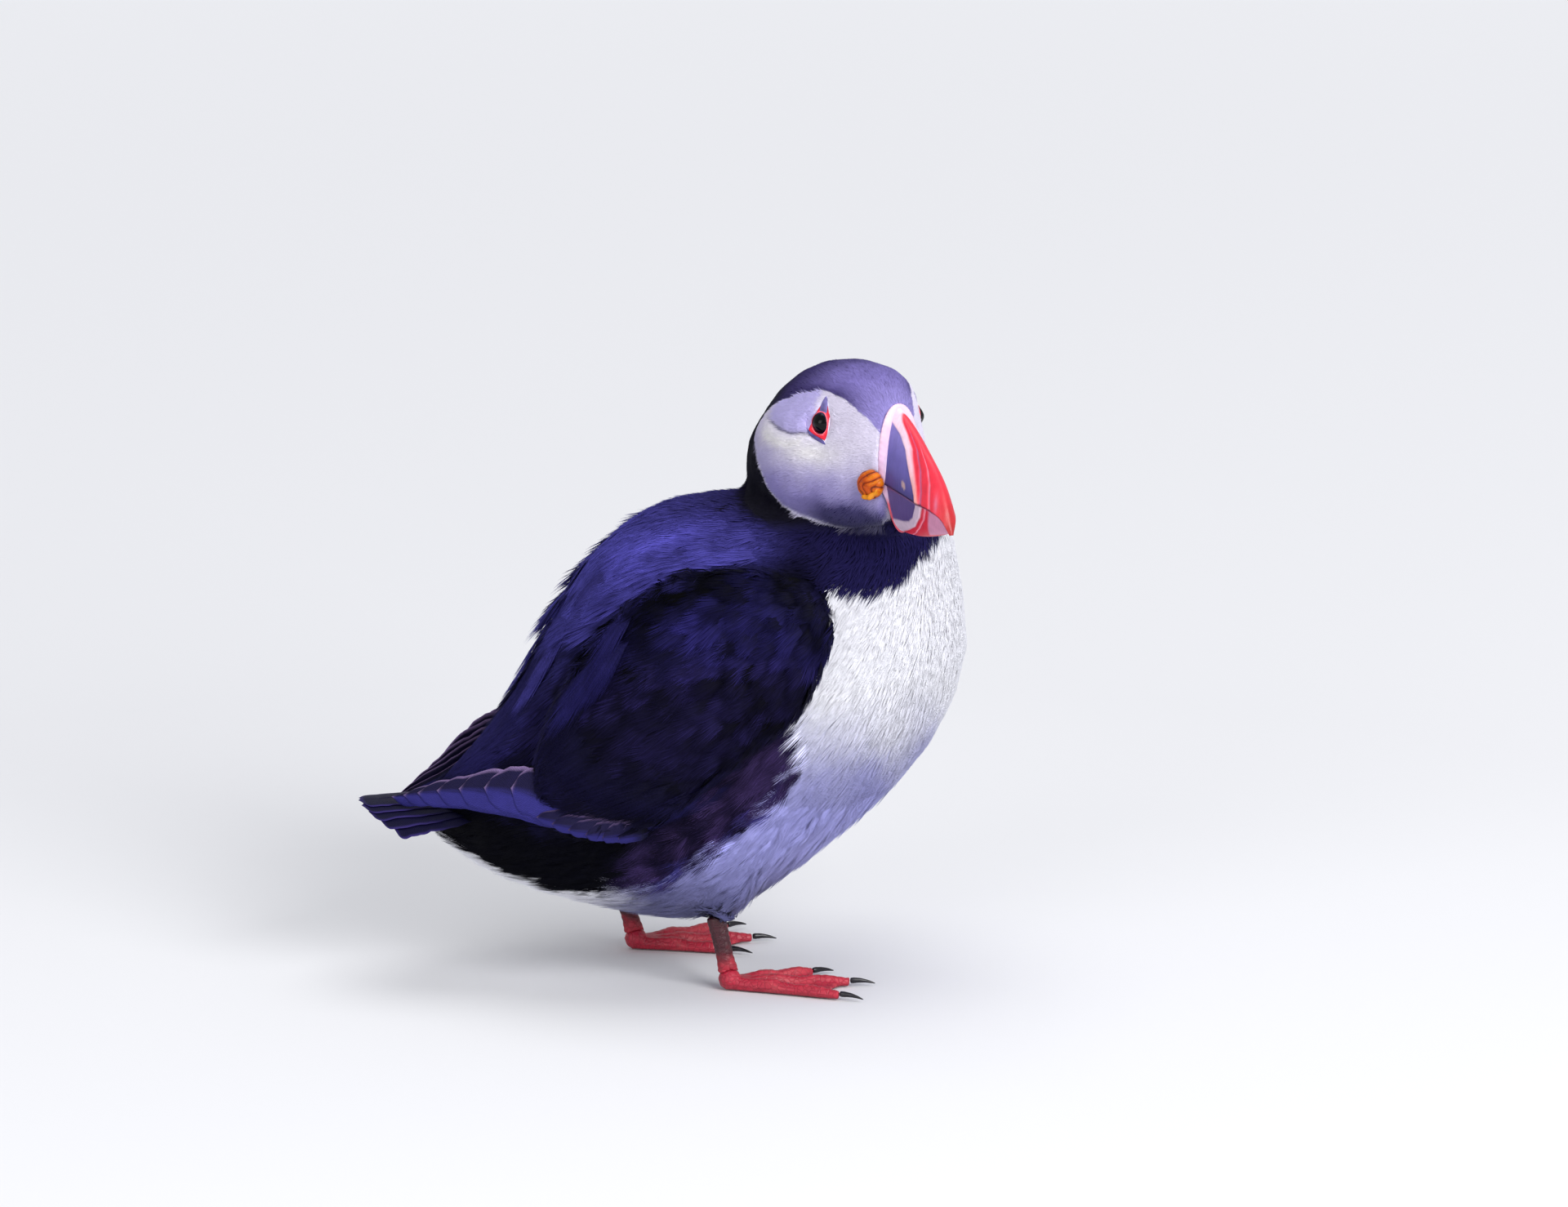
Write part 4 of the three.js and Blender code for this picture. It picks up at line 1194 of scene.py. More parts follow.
# where each band ends along the bill, at heights from the mouth line (0) to the ridge or keel (1)
upperBands = {
    "plate": [[0, 0.12, 0.26, 0.47, 0.7, 0.8, 0.84, 1], [0.375, 0.368, 0.344, 0.292, 0.233, 0.15, 0.0, -0.2]],
    "pale": [[0, 0.11, 0.33, 0.58, 0.82, 0.9, 0.95, 1], [0.43, 0.421, 0.403, 0.361, 0.303, 0.22, 0.12, 0.07]],
    "furrows": [[[0, 0.3, 0.67, 0.89, 0.95, 1], [0.44, 0.446, 0.418, 0.343, 0.24, 0.1]],
                [[0, 0.17, 0.64, 0.84, 0.9, 0.97, 1], [0.57, 0.562, 0.542, 0.492, 0.449, 0.36, 0.3]]],
}
lowerBands = {
    "plate": [[0, 0.1, 0.45, 0.6, 0.66, 0.72, 1], [0.41, 0.407, 0.367, 0.3, 0.22, 0.0, -0.3]],
    "pale": [[0, 0.36, 0.7, 0.86, 0.95, 1], [0.503, 0.485, 0.397, 0.25, 0.12, 0.05]],
    "furrows": [[[0, 0.36, 0.7, 0.86, 1], [0.503, 0.485, 0.397, 0.27, 0.1]],
                [[0, 0.4, 0.72, 0.9, 1], [0.55, 0.539, 0.462, 0.37, 0.25]]],
}
billShades = tints(
    plateTop=(128, 117, 190), plate=(98, 88, 162), plateLow=(62, 54, 118), paleTop=(246, 208, 226),
    paleLow=(236, 164, 160), red=(222, 42, 64), redTip=(166, 32, 32), violet=(186, 108, 156),
    furrow=(244, 150, 176), lowerPlate=(92, 74, 130), cream=(206, 182, 202), lowerTip=(204, 138, 170),
    seam=(40, 20, 52), fleck=(196, 160, 150),
)


def bandEdge(curve, level):
    return np.interp(level, curve[0], curve[1])


def pastBand(u, curve, level, soft=0.006):
    # 0 before a band's edge and 1 beyond it; softer where the edge runs along the bill
    slope = np.abs(bandEdge(curve, level + 0.02) - bandEdge(curve, level - 0.02)) / 0.04
    reach = soft * (1 + 2.2 * slope)
    return smooth(-reach, reach, u - bandEdge(curve, level))


def narrowing(level):
    # how the bill's half width falls from the mouth line (0) to the ridge or keel (1)
    return (1 - 0.5 * level) * np.sqrt(np.clip(1 - level**4, 0, 1))


def billSection(ridge, edge, widths, bands):
    # where a point of the shell lies, from its place along the bill (u) and round it (v)
    def shape(u, v):
        shellEnd = billMake["shellEnd"]  # beyond it the grid closes the cut along the mouth
        turn = np.clip(v / shellEnd, 0, 1) * math.pi
        level = np.sin(turn) ** 0.9
        wide = sizesAlong(widths, u)
        pastPlate = pastBand(u, bands["plate"], level, 0.014)
        pastPale = pastBand(u, bands["pale"], level, 0.02)
        proud = billMake["ridge"] * pastPlate * (1 - pastPale) * smooth(1.0, 0.85, level)
        proud -= billMake["sunk"] * (1 - pastPlate) * smooth(0, 0.06, u)
        for curve in bands["furrows"]:
            groove = bell(u, bandEdge(curve, level), billMake["furrowReach"])
            proud -= billMake["furrow"] * groove * smooth(1.0, 0.9, level)
        proud = np.clip(proud, -wide * 0.3, wide * 0.3)
        foot, top = curveThrough(edge, u), curveThrough(ridge, u)
        along = top - foot
        across = (wide + proud) * narrowing(level) * np.sign(np.cos(turn))
        plane = foot + along * level[:, None]
        closing, closed = np.clip((v - shellEnd) / (1 - shellEnd), 0, 1), v > shellEnd
        across = np.where(closed, -wide + 2 * wide * closing, across)
        plane = np.where(closed[:, None], foot, plane)
        return np.stack([plane[:, 0], across, plane[:, 1]], axis=1), np.where(closed, 0, level)
    return shape


def makeBillHalf(name, node, ridge, edge, widths, bands, colour):
    shape = billSection(ridge, edge, widths, bands)
    piece = wrapGrid(name, *billMake["grid"], lambda u, v: fromHead(shape(u, v)[0]))
    u, v = valuesOf(piece, "along"), valuesOf(piece, "around")
    paint(piece, colour(u, shape(u, v)[1], bands))
    return hand(piece, hornMaterial(name.replace("_", " ")), "bill_horn", node)


def hornMaterial(name):
    made = Nodes(name)
    place = made.place()
    along = made.attribute("along")
    around = made.attribute("around")
    stretched = {0: made.maths("MULTIPLY", along, 40.0), 1: made.maths("MULTIPLY", around, 3.0), 2: 0.0}
    layers = made.add("ShaderNodeCombineXYZ", stretched).outputs[0]
    growth = made.noise(layers, 1.6, 4.0, 0.6)
    mottle = made.noise(place, 420.0, 4.0, 0.6)
    scuff = made.noise(place, 1500.0, 2.0, 0.5)
    clouds, streaks = made.span(mottle, 0.3, 0.75, 0.9, 1.08), made.span(growth, 0.3, 0.7, 0.93, 1.06)
    shade = made.maths("MULTIPLY", clouds, streaks)
    height = made.maths("ADD", growth, made.maths("MULTIPLY", scuff, 0.35))
    made.set(Base_Color=made.toned(shade), Normal=made.bump(height, 0.05 * mm))
    made.set(Roughness=made.span(mottle, 0.3, 0.7, 0.3, 0.46))
    made.set(Specular_IOR_Level=0.4, Coat_Weight=0.1, Coat_Roughness=0.3, Subsurface_Weight=0.06)
    made.set(Subsurface_Radius=(0.002, 0.0008, 0.0006))
    return made.material


def upperColour(u, level, bands):
    b = billShades
    plate, pale = bandEdge(bands["plate"], level), bandEdge(bands["pale"], level)
    colour = blendTo(b["red"], b["redTip"], smooth(0.55, 1.0, u))
    first, second = (bandEdge(curve, level) for curve in bands["furrows"])
    colour = blendTo(colour, b["furrow"], 0.85 * bell(u, second + 0.006, 0.013) * smooth(1.0, 0.9, level))
    colour = blendTo(colour, b["lowerTip"], 0.45 * bell(u, 0.67, 0.03) * bell(level, 0.35, 0.3))
    colour = blendTo(colour, b["violet"], 0.75 * bell(u, first + 0.005, 0.014) * smooth(1.0, 0.93, level))
    ridge = blendTo(b["paleLow"], b["paleTop"], smooth(0.1, 0.8, level))
    across = (u - plate) / np.maximum(pale - plate, 0.01)
    ridge = blendTo(ridge, b["red"], 0.6 * smooth(0.6, 1.0, across) * smooth(0.95, 0.7, level))
    colour = blendTo(colour, ridge, 1 - pastBand(u, bands["pale"], level, 0.009))
    slate = blendTo(b["plateLow"], b["plate"], smooth(0.0, 0.4, level))
    slate = blendTo(slate, b["plateTop"], smooth(0.4, 0.8, level))
    colour = blendTo(colour, slate, 1 - pastBand(u, bands["plate"], level, 0.007))
    fleckAlong = np.abs((u - 0.235 + 0.1 * (level - 0.16)) / 0.026)
    fleckUp = np.abs((level - 0.165 + 0.008 * np.sin(240 * u)) / 0.06)
    fleck = smooth(0.25, 0.7, np.exp(-(fleckAlong**3) - fleckUp**3))
    colour = blendTo(colour, b["fleck"], fleck * (0.7 + 0.15 * np.sin(260 * u + 50 * level)))
    return blendTo(colour, b["seam"], smooth(0.05, 0.01, level) * smooth(0.8, 0.35, u) * 0.85)


def lowerColour(u, level, bands):
    b = billShades
    colour = blendTo(b["red"] * 0.92, b["lowerTip"], smooth(0.59, 0.64, u) * smooth(0.97, 0.9, level))
    first, second = (bandEdge(curve, level) for curve in bands["furrows"])
    colour = blendTo(colour, b["furrow"], 0.8 * bell(u, second, 0.014))
    colour = blendTo(colour, b["cream"], 1 - pastBand(u, bands["pale"], level, 0.008))
    colour = blendTo(colour, b["lowerPlate"], 1 - pastBand(u, bands["plate"], level, 0.012))
    colour = blendTo(colour, b["red"] * 0.7, 0.7 * bell(u, first, 0.006))
    return blendTo(colour, b["violet"] * 0.6, smooth(0.05, 0.0, level) * 0.6)


print("bill")
evenly = np.linspace(0, 1, 6)
makeBillHalf(
    "bill_upper_horn", "bill_upper", billMake["culmen"], billMake["mouth"], billMake["upperHalf"],
    upperBands, upperColour,
)
belowMouth = curveThrough(billMake["mouth"], np.linspace(0, 0.93, 6)) - [0, 0.22]
keel, lowerHalf = curveThrough(billMake["gonys"], evenly), sizesAlong(billMake["lowerHalf"], evenly)
makeBillHalf("bill_lower_horn", "bill_lower", keel, belowMouth, lowerHalf, lowerBands, lowerColour)

rimMake = {
    "top": [37.4, 19.8], "low": [42.2, -17.4], "half": 6.75, "behind": 0.45, "ahead": 0.02,
    "proud": 0.6, "thick": 0.8, "mouthAt": 0.42, "crimps": 68, "grid": (420, 28),
}


def rimPlace(u, v):
    # a band round the foot of the bill, from the feathers behind it down to the horn in front
    turn = u * 2 * math.pi
    top, low = np.array(rimMake["top"]), np.array(rimMake["low"])
    tall = np.linalg.norm(top - low)
    up = (top - low) / tall
    sine, cosine = np.sin(turn), np.cos(turn)
    upper = smooth(-0.4, 0.05, sine)  # below the corner of the mouth the rim is a thin cord
    proud = rimMake["proud"] * (0.45 + 0.55 * upper)
    mouthAt = rimMake["mouthAt"]  # how far up the bill's foot its two halves meet
    reach = tall * np.where(sine > 0, 1 - mouthAt, mouthAt) - 0.45
    crimp = np.sin(turn * rimMake["crimps"]) * 0.05 * upper

    def ring(outward, ahead):
        across = (rimMake["half"] + outward) * np.sign(cosine) * np.abs(cosine) ** 0.9
        tallness = (reach + outward) * np.sign(sine) * np.abs(sine) ** 0.95
        plane = low + (top - low) * mouthAt + up * tallness[:, None]
        return np.stack([plane[:, 0] + ahead, across, plane[:, 1]], axis=1)

    level = np.abs(sine) ** 0.9

    def shell(along, wider):
        upperWide, lowerWide = (sizesAlong(billMake[key], along) for key in ("upperHalf", "lowerHalf"))
        wide = np.where(sine > 0, upperWide, lowerWide) + wider
        foot = curveThrough(billMake["mouth"], along)
        ridge, keel = (curveThrough(billMake[key], along) for key in ("culmen", "gonys"))
        head = np.where((sine > 0)[:, None], ridge, keel)
        plane = foot + (head - foot) * level[:, None]
        across = wide * narrowing(level) * np.sign(cosine)
        raised = np.stack([0 * turn, 0 * turn, wider * sine], axis=1)
        return np.stack([plane[:, 0], across, plane[:, 1]], axis=1) + raised

    back = blendTo(shell(0 * turn, 0.25) - [0.6, 0, 0], ring(proud * 0.15, -rimMake["behind"]), upper)
    crown = blendTo(shell(0 * turn, 0.55), ring(proud + crimp, 0.1 + 0 * turn), upper)
    front = shell(rimMake["ahead"] * (0.4 + 0.6 * upper) * (1 - 0.35 * smooth(0.75, 1, sine)), -0.2)
    share = np.where(v < 0.5, v * 2, 2 - v * 2)[:, None]
    control = 2 * crown - 0.5 * (back + front)
    spot = back * (1 - share) ** 2 + control * 2 * share * (1 - share) + front * share**2
    under = (np.sin(np.clip((v - 0.5) * 2, 0, 1) * math.pi) * rimMake["thick"])[:, None]
    inward = np.stack([0 * turn, -cosine, -sine], axis=1)
    return fromHead(spot + inward * under)


def fleshMaterial(name, rough=0.4, bump=0.12, scale=900.0, gloss=0.25):
    made = Nodes(name)
    place = made.place()
    wrinkle = made.noise(place, scale, 4.0, 0.6)
    mottle = made.noise(place, scale * 0.3, 3.0, 0.5)
    shade = made.span(mottle, 0.3, 0.7, 0.87, 1.12)
    made.set(Base_Color=made.toned(shade), Normal=made.bump(wrinkle, bump * mm))
    made.set(Roughness=made.span(mottle, 0.3, 0.7, rough - 0.06, rough + 0.08))
    made.set(Specular_IOR_Level=gloss, Subsurface_Weight=0.06)
    made.set(Subsurface_Radius=(0.0015, 0.0006, 0.0005))
    return made.material


rimPiece = wrapGrid("bill_rim_flesh", *rimMake["grid"], rimPlace, closeEnds=False)
outwardNormals(rimPiece)
rimTurn, rimSection = valuesOf(rimPiece, "along") * 2 * math.pi, valuesOf(rimPiece, "around")
rimShades = tints(
    low=(218, 182, 214), top=(238, 194, 208), crimp=(226, 112, 150), middle=(200, 178, 210),
    chin=(206, 62, 76),
)
rimUp = np.sin(rimTurn)
rimTone = blendTo(rimShades["low"], rimShades["top"], smooth(0.2, 0.9, rimUp))
crimps = bell(rimSection, 0.06, 0.07) * (0.5 + 0.4 * np.sin(rimTurn * rimMake["crimps"]))
rimTone = blendTo(rimTone, rimShades["crimp"], crimps)
rimTone = blendTo(rimTone, rimShades["middle"], bell(rimSection, 0.46, 0.05) * 0.5)
rimTone = blendTo(rimTone, rimShades["chin"], smooth(-0.2, -0.4, rimUp) * 0.9)
paint(rimPiece, rimTone)
hand(rimPiece, fleshMaterial("fleshy bill rim", bump=0.05), "bill_rim", "bill_rim")

# rosettes at the corners of the mouth

rosetteMake = {"place": [39.4, 9.7, -3.2], "facing": 62, "radius": 3.9, "thick": 2.9}
gapeMake = {
    "line": [[38.8, 12.2, -6.8], [41.0, 10.9, -6.6], [42.6, 9.4, -5.0], [43.0, 8.3, -3.6]], "grid": (40, 14),
}
rosetteShades = tints(
    groove=(92, 26, 0), fold=(186, 82, 0), core=(168, 54, 4), crest=(212, 124, 8), gape=(206, 128, 22),
    gapeEnd=(170, 56, 34),
)


def makeRosette(label, side):
    deselect()
    bpy.ops.mesh.primitive_ico_sphere_add(subdivisions=6, radius=1)
    piece = bpy.context.object
    piece.name = f"rosette_{label}_flesh"
    x, y, z = pointsOf(piece).T  # x forward, y up, z out of the cheek
    x1, y1 = x + 0.12 * np.sin(4 * y + 1) + 0.18, y + 0.15 * np.sin(3.5 * x)
    reach = np.hypot(x1, y1)
    swirl = 7.2 * np.hypot(x1 - 0.95, y1 + 0.25) + 0.7 * np.sin(3.2 * y1 + 1.5 * x1)
    swirl += 0.35 * np.sin(7 * y1 - 4 * x1)
    fold = np.abs(np.sin(swirl)) ** 0.6
    cross = np.abs(np.sin(4.6 * y1 - 3.4 * x1 + 1.4 * np.sin(3.5 * x1))) ** 0.35
    fine = np.abs(np.sin(23 * x1 + 4 * np.sin(7 * y1))) * 0.6 + 0.4 * np.abs(np.sin(19 * y1 + 3 * x1))
    rise = 0.74 + 0.17 * fold + 0.08 * cross + 0.04 * fine
    size = rosetteMake["radius"] * (0.91 + 0.06 * fold + 0.05 * cross)
    centre, outward, forward = cheekSpot(rosetteMake["place"], rosetteMake["facing"], side)
    h = centre + (x * size * 1.1)[:, None] * forward + (y * size * 1.12)[:, None] * [0, 0, 1]
    movePoints(piece, fromHead(h + (z * rosetteMake["thick"] * rise)[:, None] * outward))
    outwardNormals(piece)
    s = rosetteShades
    # painted shade in the grooves between the folds, and painted highlight on the folds' crests
    tone = blendTo(s["groove"], s["fold"], smooth(0.2, 0.75, fold * (0.55 + 0.45 * cross)))
    tone = blendTo(tone, s["core"], bell(reach, 0.3, 0.3) * 0.55)
    tone = blendTo(tone, s["crest"], smooth(0.85, 1.0, fold) * smooth(0.4, 0.9, reach) * 0.55)
    paint(piece, tone)
    hand(piece, fleshMaterial(f"orange rosette {label}", 0.36, 0.08, 1400.0), "rosette", f"rosette_{label}")

    # the yellow fold from the rosette to the corner of the mouth
    def place(u, v):
        middle = curveThrough(gapeMake["line"], u) * [1, side, 1]
        section = v * 2 * math.pi
        thick = (0.35 + 0.75 * np.sin(np.clip(u, 0, 1) * math.pi) ** 0.6) * (1 + 0.14 * np.sin(u * 19))
        thick *= np.where((u < 0.001) | (u > 0.999), 0.02, 1)
        outwards = (thick * np.cos(section))[:, None] * outward
        return fromHead(middle + outwards + (thick * np.sin(section) * 0.9)[:, None] * [0, 0, 1])

    lobe = wrapGrid(f"gape_fold_{label}", *gapeMake["grid"], place)
    paint(lobe, blendTo(s["gape"], s["gapeEnd"], smooth(0.75, 1.0, valuesOf(lobe, "along")) * 0.7))
    hand(lobe, fleshMaterial(f"yellow gape fold {label}", 0.36, 0.06, 1400.0), "rosette")


# eyes, their red rings and the horny plates

eyeMake = {
    "radius": 3.75, "cornea": 0.25, "corneaWide": 0.42, "pupil": 2.5, "sunk": 0.3, "segments": 64, "rings": 40,
}
ringOutline = np.array([  # the red ring's outer edge, across and up from the middle of the eye
    [3.35, 0.0], [3.25, 1.4], [2.4, 3.6], [1.75, 5.4], [0.6, 5.8], [-0.9, 5.2], [-1.7, 3.8], [-2.5, 1.8],
    [-3.1, 0.0], [-3.9, -1.9], [-4.0, -2.6], [-2.6, -3.4], [-0.8, -4.0], [1.2, -4.6], [2.45, -5.0],
    [2.85, -3.4], [3.25, -1.6],
])
eyeShades = tints(
    iris=(34, 30, 66), pupil=(2, 2, 5), ring=(244, 40, 62), ringEdge=(196, 24, 54), bead=(255, 140, 156),
    lash=(120, 14, 34),
)
ringMake = {
    "innerWide": 2.6, "innerTall": 3.15, "bead": 0.25, "beads": 26, "rise": 0.22, "whiteFrom": 2.85,
    "grid": (156, 22),
}
plateShapes = {  # places along each plate, with its low and high edge at each; the upper one stands
    "upper": {
        "upright": True, "run": [2.7, 3.2, 4.4, 5.6, 6.6, 7.3, 7.8],
        "low": [-0.6, -1.0, -0.95, -0.75, -0.35, 0.05, 0.4], "high": [1.3, 1.75, 1.75, 1.55, 1.25, 0.9, 0.4],
        "rise": 0.5, "tone": (112, 104, 160),
    },
    "lower": {
        "upright": False, "run": [-4.2, -3.6, -2.4, -0.8, 0.9, 2.0, 2.75],
        "low": [-2.6, -3.3, -4.2, -5.0, -5.5, -5.85, -5.95],
        "high": [-2.6, -2.75, -3.3, -3.9, -4.5, -4.95, -5.7],
        "rise": 0.45, "tone": (84, 78, 132),
    },
}
plateGrid = (44, 20)


def bowedTerms(x, y):
    return np.stack([np.ones_like(x), x, y, x * x, x * y, y * y, y**3], axis=1)


def skinLevelAround(side):
    # a smooth sheet through the skin round the eye, as weights for bowedTerms
    turn, far = np.meshgrid(np.linspace(0, 2 * math.pi, 48, endpoint=False), [3.6, 4.6, 5.6, 6.8, 8.0])
    x, y = (far * np.cos(turn)).ravel(), (far * np.sin(turn)).ravel()
    starts, ends = (fromEye(np.stack([x, y, np.full(len(x), z)], axis=1), side) for z in (14.0, -14.0))
    levels, kept = [], []
    for number, (start, end) in enumerate(zip(starts, ends)):
        spot = surface.tree.ray_cast(Vector(start), Vector(end - start).normalized())[0]
        if spot:
            kept.append(number)
            levels.append(inEye(np.array([spot]), side)[0, 2])
    return np.linalg.lstsq(bowedTerms(x[kept], y[kept]), np.array(levels), rcond=None)[0]


skinSheets = {side: skinLevelAround(side) for side in sides.values()}


def skinLevel(x, y, side):
    return bowedTerms(x, y) @ skinSheets[side]


def eyeMaterial(label):
    made = Nodes(f"wet eye {label}")
    place = made.place()
    fleck = made.noise(place, 2200.0, 3.0, 0.6)
    shade = made.span(fleck, 0.3, 0.7, 0.75, 1.3)
    made.set(Base_Color=made.toned(shade), Specular_IOR_Level=0.2)
    made.set(Roughness=made.span(fleck, 0.3, 0.7, 0.09, 0.15))
    return made.material


def makeEye(label, side):
    deselect()
    segments, rings = eyeMake["segments"], eyeMake["rings"]
    bpy.ops.mesh.primitive_uv_sphere_add(segments=segments, ring_count=rings, radius=1)
    piece = bpy.context.object
    piece.name = f"eyeball_{label}"
    p = pointsOf(piece)
    off = np.hypot(p[:, 0], p[:, 1])
    cornea = eyeMake["cornea"] * bell(off, 0, eyeMake["corneaWide"]) * (p[:, 2] > 0)
    local = p * (eyeMake["radius"] + cornea)[:, None]
    local[:, 2] -= eyeMake["sunk"]
    radial = np.hypot(local[:, 0], local[:, 1] * 0.9)
    pupil = smooth(eyeMake["pupil"] + 0.25, eyeMake["pupil"] - 0.15, radial)
    movePoints(piece, fromEye(local, side))
    paint(piece, blendTo(eyeShades["iris"], eyeShades["pupil"], pupil))
    outwardNormals(piece)
    hand(piece, eyeMaterial(label), "eye", f"eye_{label}")


def makeRing(label, side):
    edgeTurn = np.unwrap(np.arctan2(ringOutline[:, 1], ringOutline[:, 0]))
    edgeTurn = np.append(edgeTurn, edgeTurn[0] + 2 * math.pi)
    edge = np.vstack([ringOutline, ringOutline[:1]])

    def place(u, v):
        turn = (u * 2 * math.pi) % (2 * math.pi)
        section = v * 2 * math.pi
        outX, outY = np.interp(turn, edgeTurn, edge[:, 0]), np.interp(turn, edgeTurn, edge[:, 1])
        inX, inY = ringMake["innerWide"] * np.cos(turn), ringMake["innerTall"] * np.sin(turn)
        share = 0.5 - 0.5 * np.cos(section)
        x, y = inX + (outX - inX) * share, inY + (outY - inY) * share
        upper = np.sin(section) > 0
        bead = 1 + 0.12 * np.sin(u * 2 * math.pi * ringMake["beads"])
        ball = np.sqrt(np.clip(eyeMake["radius"] ** 2 - x**2 - y**2, 0, None)) - eyeMake["sunk"]
        onBall = smooth(0.75, 0.1, share)
        base = skinLevel(x, y, side) + 0.1
        base = base + (np.maximum(ball, base) - base) * onBall
        high = ringMake["rise"] * np.sqrt(np.abs(np.sin(section))) * bead
        high += ringMake["bead"] * bell(share, 0.16, 0.14) * bead
        z = np.where(upper, base + np.where(share > 0.97, -0.1, high), base - 0.5)
        return fromEye(np.stack([x, y, z], axis=1), side)

    piece = wrapGrid(f"eye_ring_{label}_flesh", *ringMake["grid"], place, closeEnds=False)
    relax(piece, 1)
    share = 0.5 - 0.5 * np.cos(valuesOf(piece, "around") * 2 * math.pi)
    tone = blendTo(eyeShades["ring"], eyeShades["ringEdge"], smooth(0.6, 1.0, share))
    tone = blendTo(tone, eyeShades["bead"], bell(share, 0.14, 0.1) * 0.75)
    tone = blendTo(tone, eyeShades["lash"], smooth(0.05, 0.0, share))
    front = ringMake["whiteFrom"]  # white skin from here forwards
    ahead = inEye(pointsOf(piece), side)[:, 0]
    paint(piece, blendTo(tone, shades["face"], smooth(front, front + 0.25, ahead)))
    hand(piece, fleshMaterial(f"red eye ring {label}", 0.36, 0.06, 1500.0), "eyelid", f"eye_ring_{label}")


def makePlate(label, side, which):
    shape = plateShapes[which]

    def place(u, v):
        section = v * 2 * math.pi
        share = 0.5 - 0.5 * np.cos(section)
        steps = np.linspace(0, 1, len(shape["run"]))
        run, low, high = (np.interp(u, steps, shape[key]) for key in ("run", "low", "high"))
        over = low + (high - low) * share
        x, y = (over, run) if shape["upright"] else (run, over)
        dome = np.sin(np.clip(u, 0, 1) * math.pi) ** 0.4
        crown = shape["rise"] * np.abs(np.sin(section)) ** 0.6 * dome * (1 + 0.12 * np.sin(9 * u + 4 * share))
        z = skinLevel(x, y, side) + np.where(np.sin(section) > 0, 0.3 + crown, -0.5)
        return fromEye(np.stack([x, y, z], axis=1), side)

    piece = wrapGrid(f"eye_plate_{which}_{label}_horn", *plateGrid, place)
    relax(piece, 2)
    points = pointsOf(piece)
    paler = 0.15 if shape["upright"] else -0.15
    shade = 1 + 0.2 * ripple(points, 1.6, 10) + paler * (valuesOf(piece, "along") - 0.5)
    paint(piece, tint(*shape["tone"]) * np.clip(shade, 0.6, 1.4)[:, None])
    horn = fleshMaterial(f"{which} eye plate {label}", 0.42, 0.08, 1300.0)
    hand(piece, horn, "eye_horn", f"eye_plate_{which}_{label}")


print("eyes and face")
for label, side in sides.items():
    makeRosette(label, side)
    makeEye(label, side)
    makeRing(label, side)
    makePlate(label, side, "upper")
    makePlate(label, side, "lower")

quillRuns = {
    "right": {
        "line": [
            [-30, -42.5, 60], [-50, -40.5, 60.5], [-70, -32, 62.5], [-88, -19.5, 60.5], [-105, -7.5, 57.5],
        ],
        "half": [7, 10.5, 11.5, 8.2, 1.4], "lean": [0.1, 0.2, 0.42, 0.6, 0.7],
    },
    "left": {
        "line": [[-30, 42.5, 64], [-50, 42, 66.5], [-70, 37.5, 63], [-88, 28.5, 54], [-104, 18, 48.6]],
        "half": [7, 12, 12.2, 8.6, 1.4], "lean": [0.1, 0.12, 0.16, 0.24, 0.3],
    },
}
bladeMake = {"rows": 30, "columns": 10, "thick": 0.16, "shaftCuts": 6, "seed": 500}
bladeShades = tints(
    outer=(46, 43, 112), inner=(24, 20, 54), edge=(140, 116, 164), shaft=(40, 34, 74), tail=(10, 8, 40),
    tailEdge=(56, 44, 112),
)


def onQuills(label, s, level, out):
    # s along the folded wing tip, level as millimetres up its side, out from its surface
    run, side = quillRuns[label], sides[label]
    middle = curveThrough(run["line"], s)
    before, after = (curveThrough(run["line"], np.clip(s + step, 0, 1)) for step in (-0.02, 0.02))
    along = unit(after - before)
    lean = sizesAlong(run["lean"], s)
    up = np.stack([np.zeros_like(lean), -side * np.sin(lean), np.cos(lean)], axis=-1)
    up = unit(up - along * (up * along).sum(axis=-1, keepdims=True))
    outward = unit(np.cross(along, up)) * side
    half = sizesAlong(run["half"], s)
    bowl = 1.6 * (level / np.maximum(half, 2)) ** 2
    return middle + up * level[..., None] + outward * (out - bowl)[..., None]


def bladeTemplate(rows, columns, thick):
    # a long vane: x along it from 0 to 1, y across it from -1 to 1, z its thickness
    def place(along, across):
        along = 1 - (1 - along) ** 1.7  # the rows crowd towards the rounded tip
        return np.stack([along, across, 0 * across], axis=1)

    points, faces = gridBlade(rows, columns, thick, place)
    points[:, 0] = np.clip(points[:, 0], 0, 1)
    return points, faces


def shaftTemplate(rows):
    # a thin closed rod that tapers along x
    deselect()
    rod = {"vertices": 5, "radius": 1, "depth": 1, "end_fill_type": "TRIFAN"}
    bpy.ops.mesh.primitive_cylinder_add(rotation=(0, math.pi / 2, 0), location=(0.5, 0, 0), **rod)
    bpy.ops.object.transform_apply(location=True, rotation=True)
    editAll(bpy.context.object, bpy.ops.mesh.subdivide, number_cuts=rows)
    points, faces = takeShape(bpy.context.object)
    points[:, 0] = np.clip(points[:, 0], 0, 1)
    points[:, 1:] *= 1 - 0.9 * points[:, :1]
    return points, faces


def bladeWidth(along, slant, blunt):
    # slant 0 gives a round tip, 1 a long slanted one; blunt squares it
    root = 0.62 + 0.38 * smooth(0, 0.45, along)
    tip = np.clip((along - 0.89 + 0.41 * slant) / (0.11 + 0.41 * slant), 0, 1)
    return root * np.sqrt(np.clip(1 - tip ** (2.2 + blunt - 0.5 * slant), 0.002, 1))


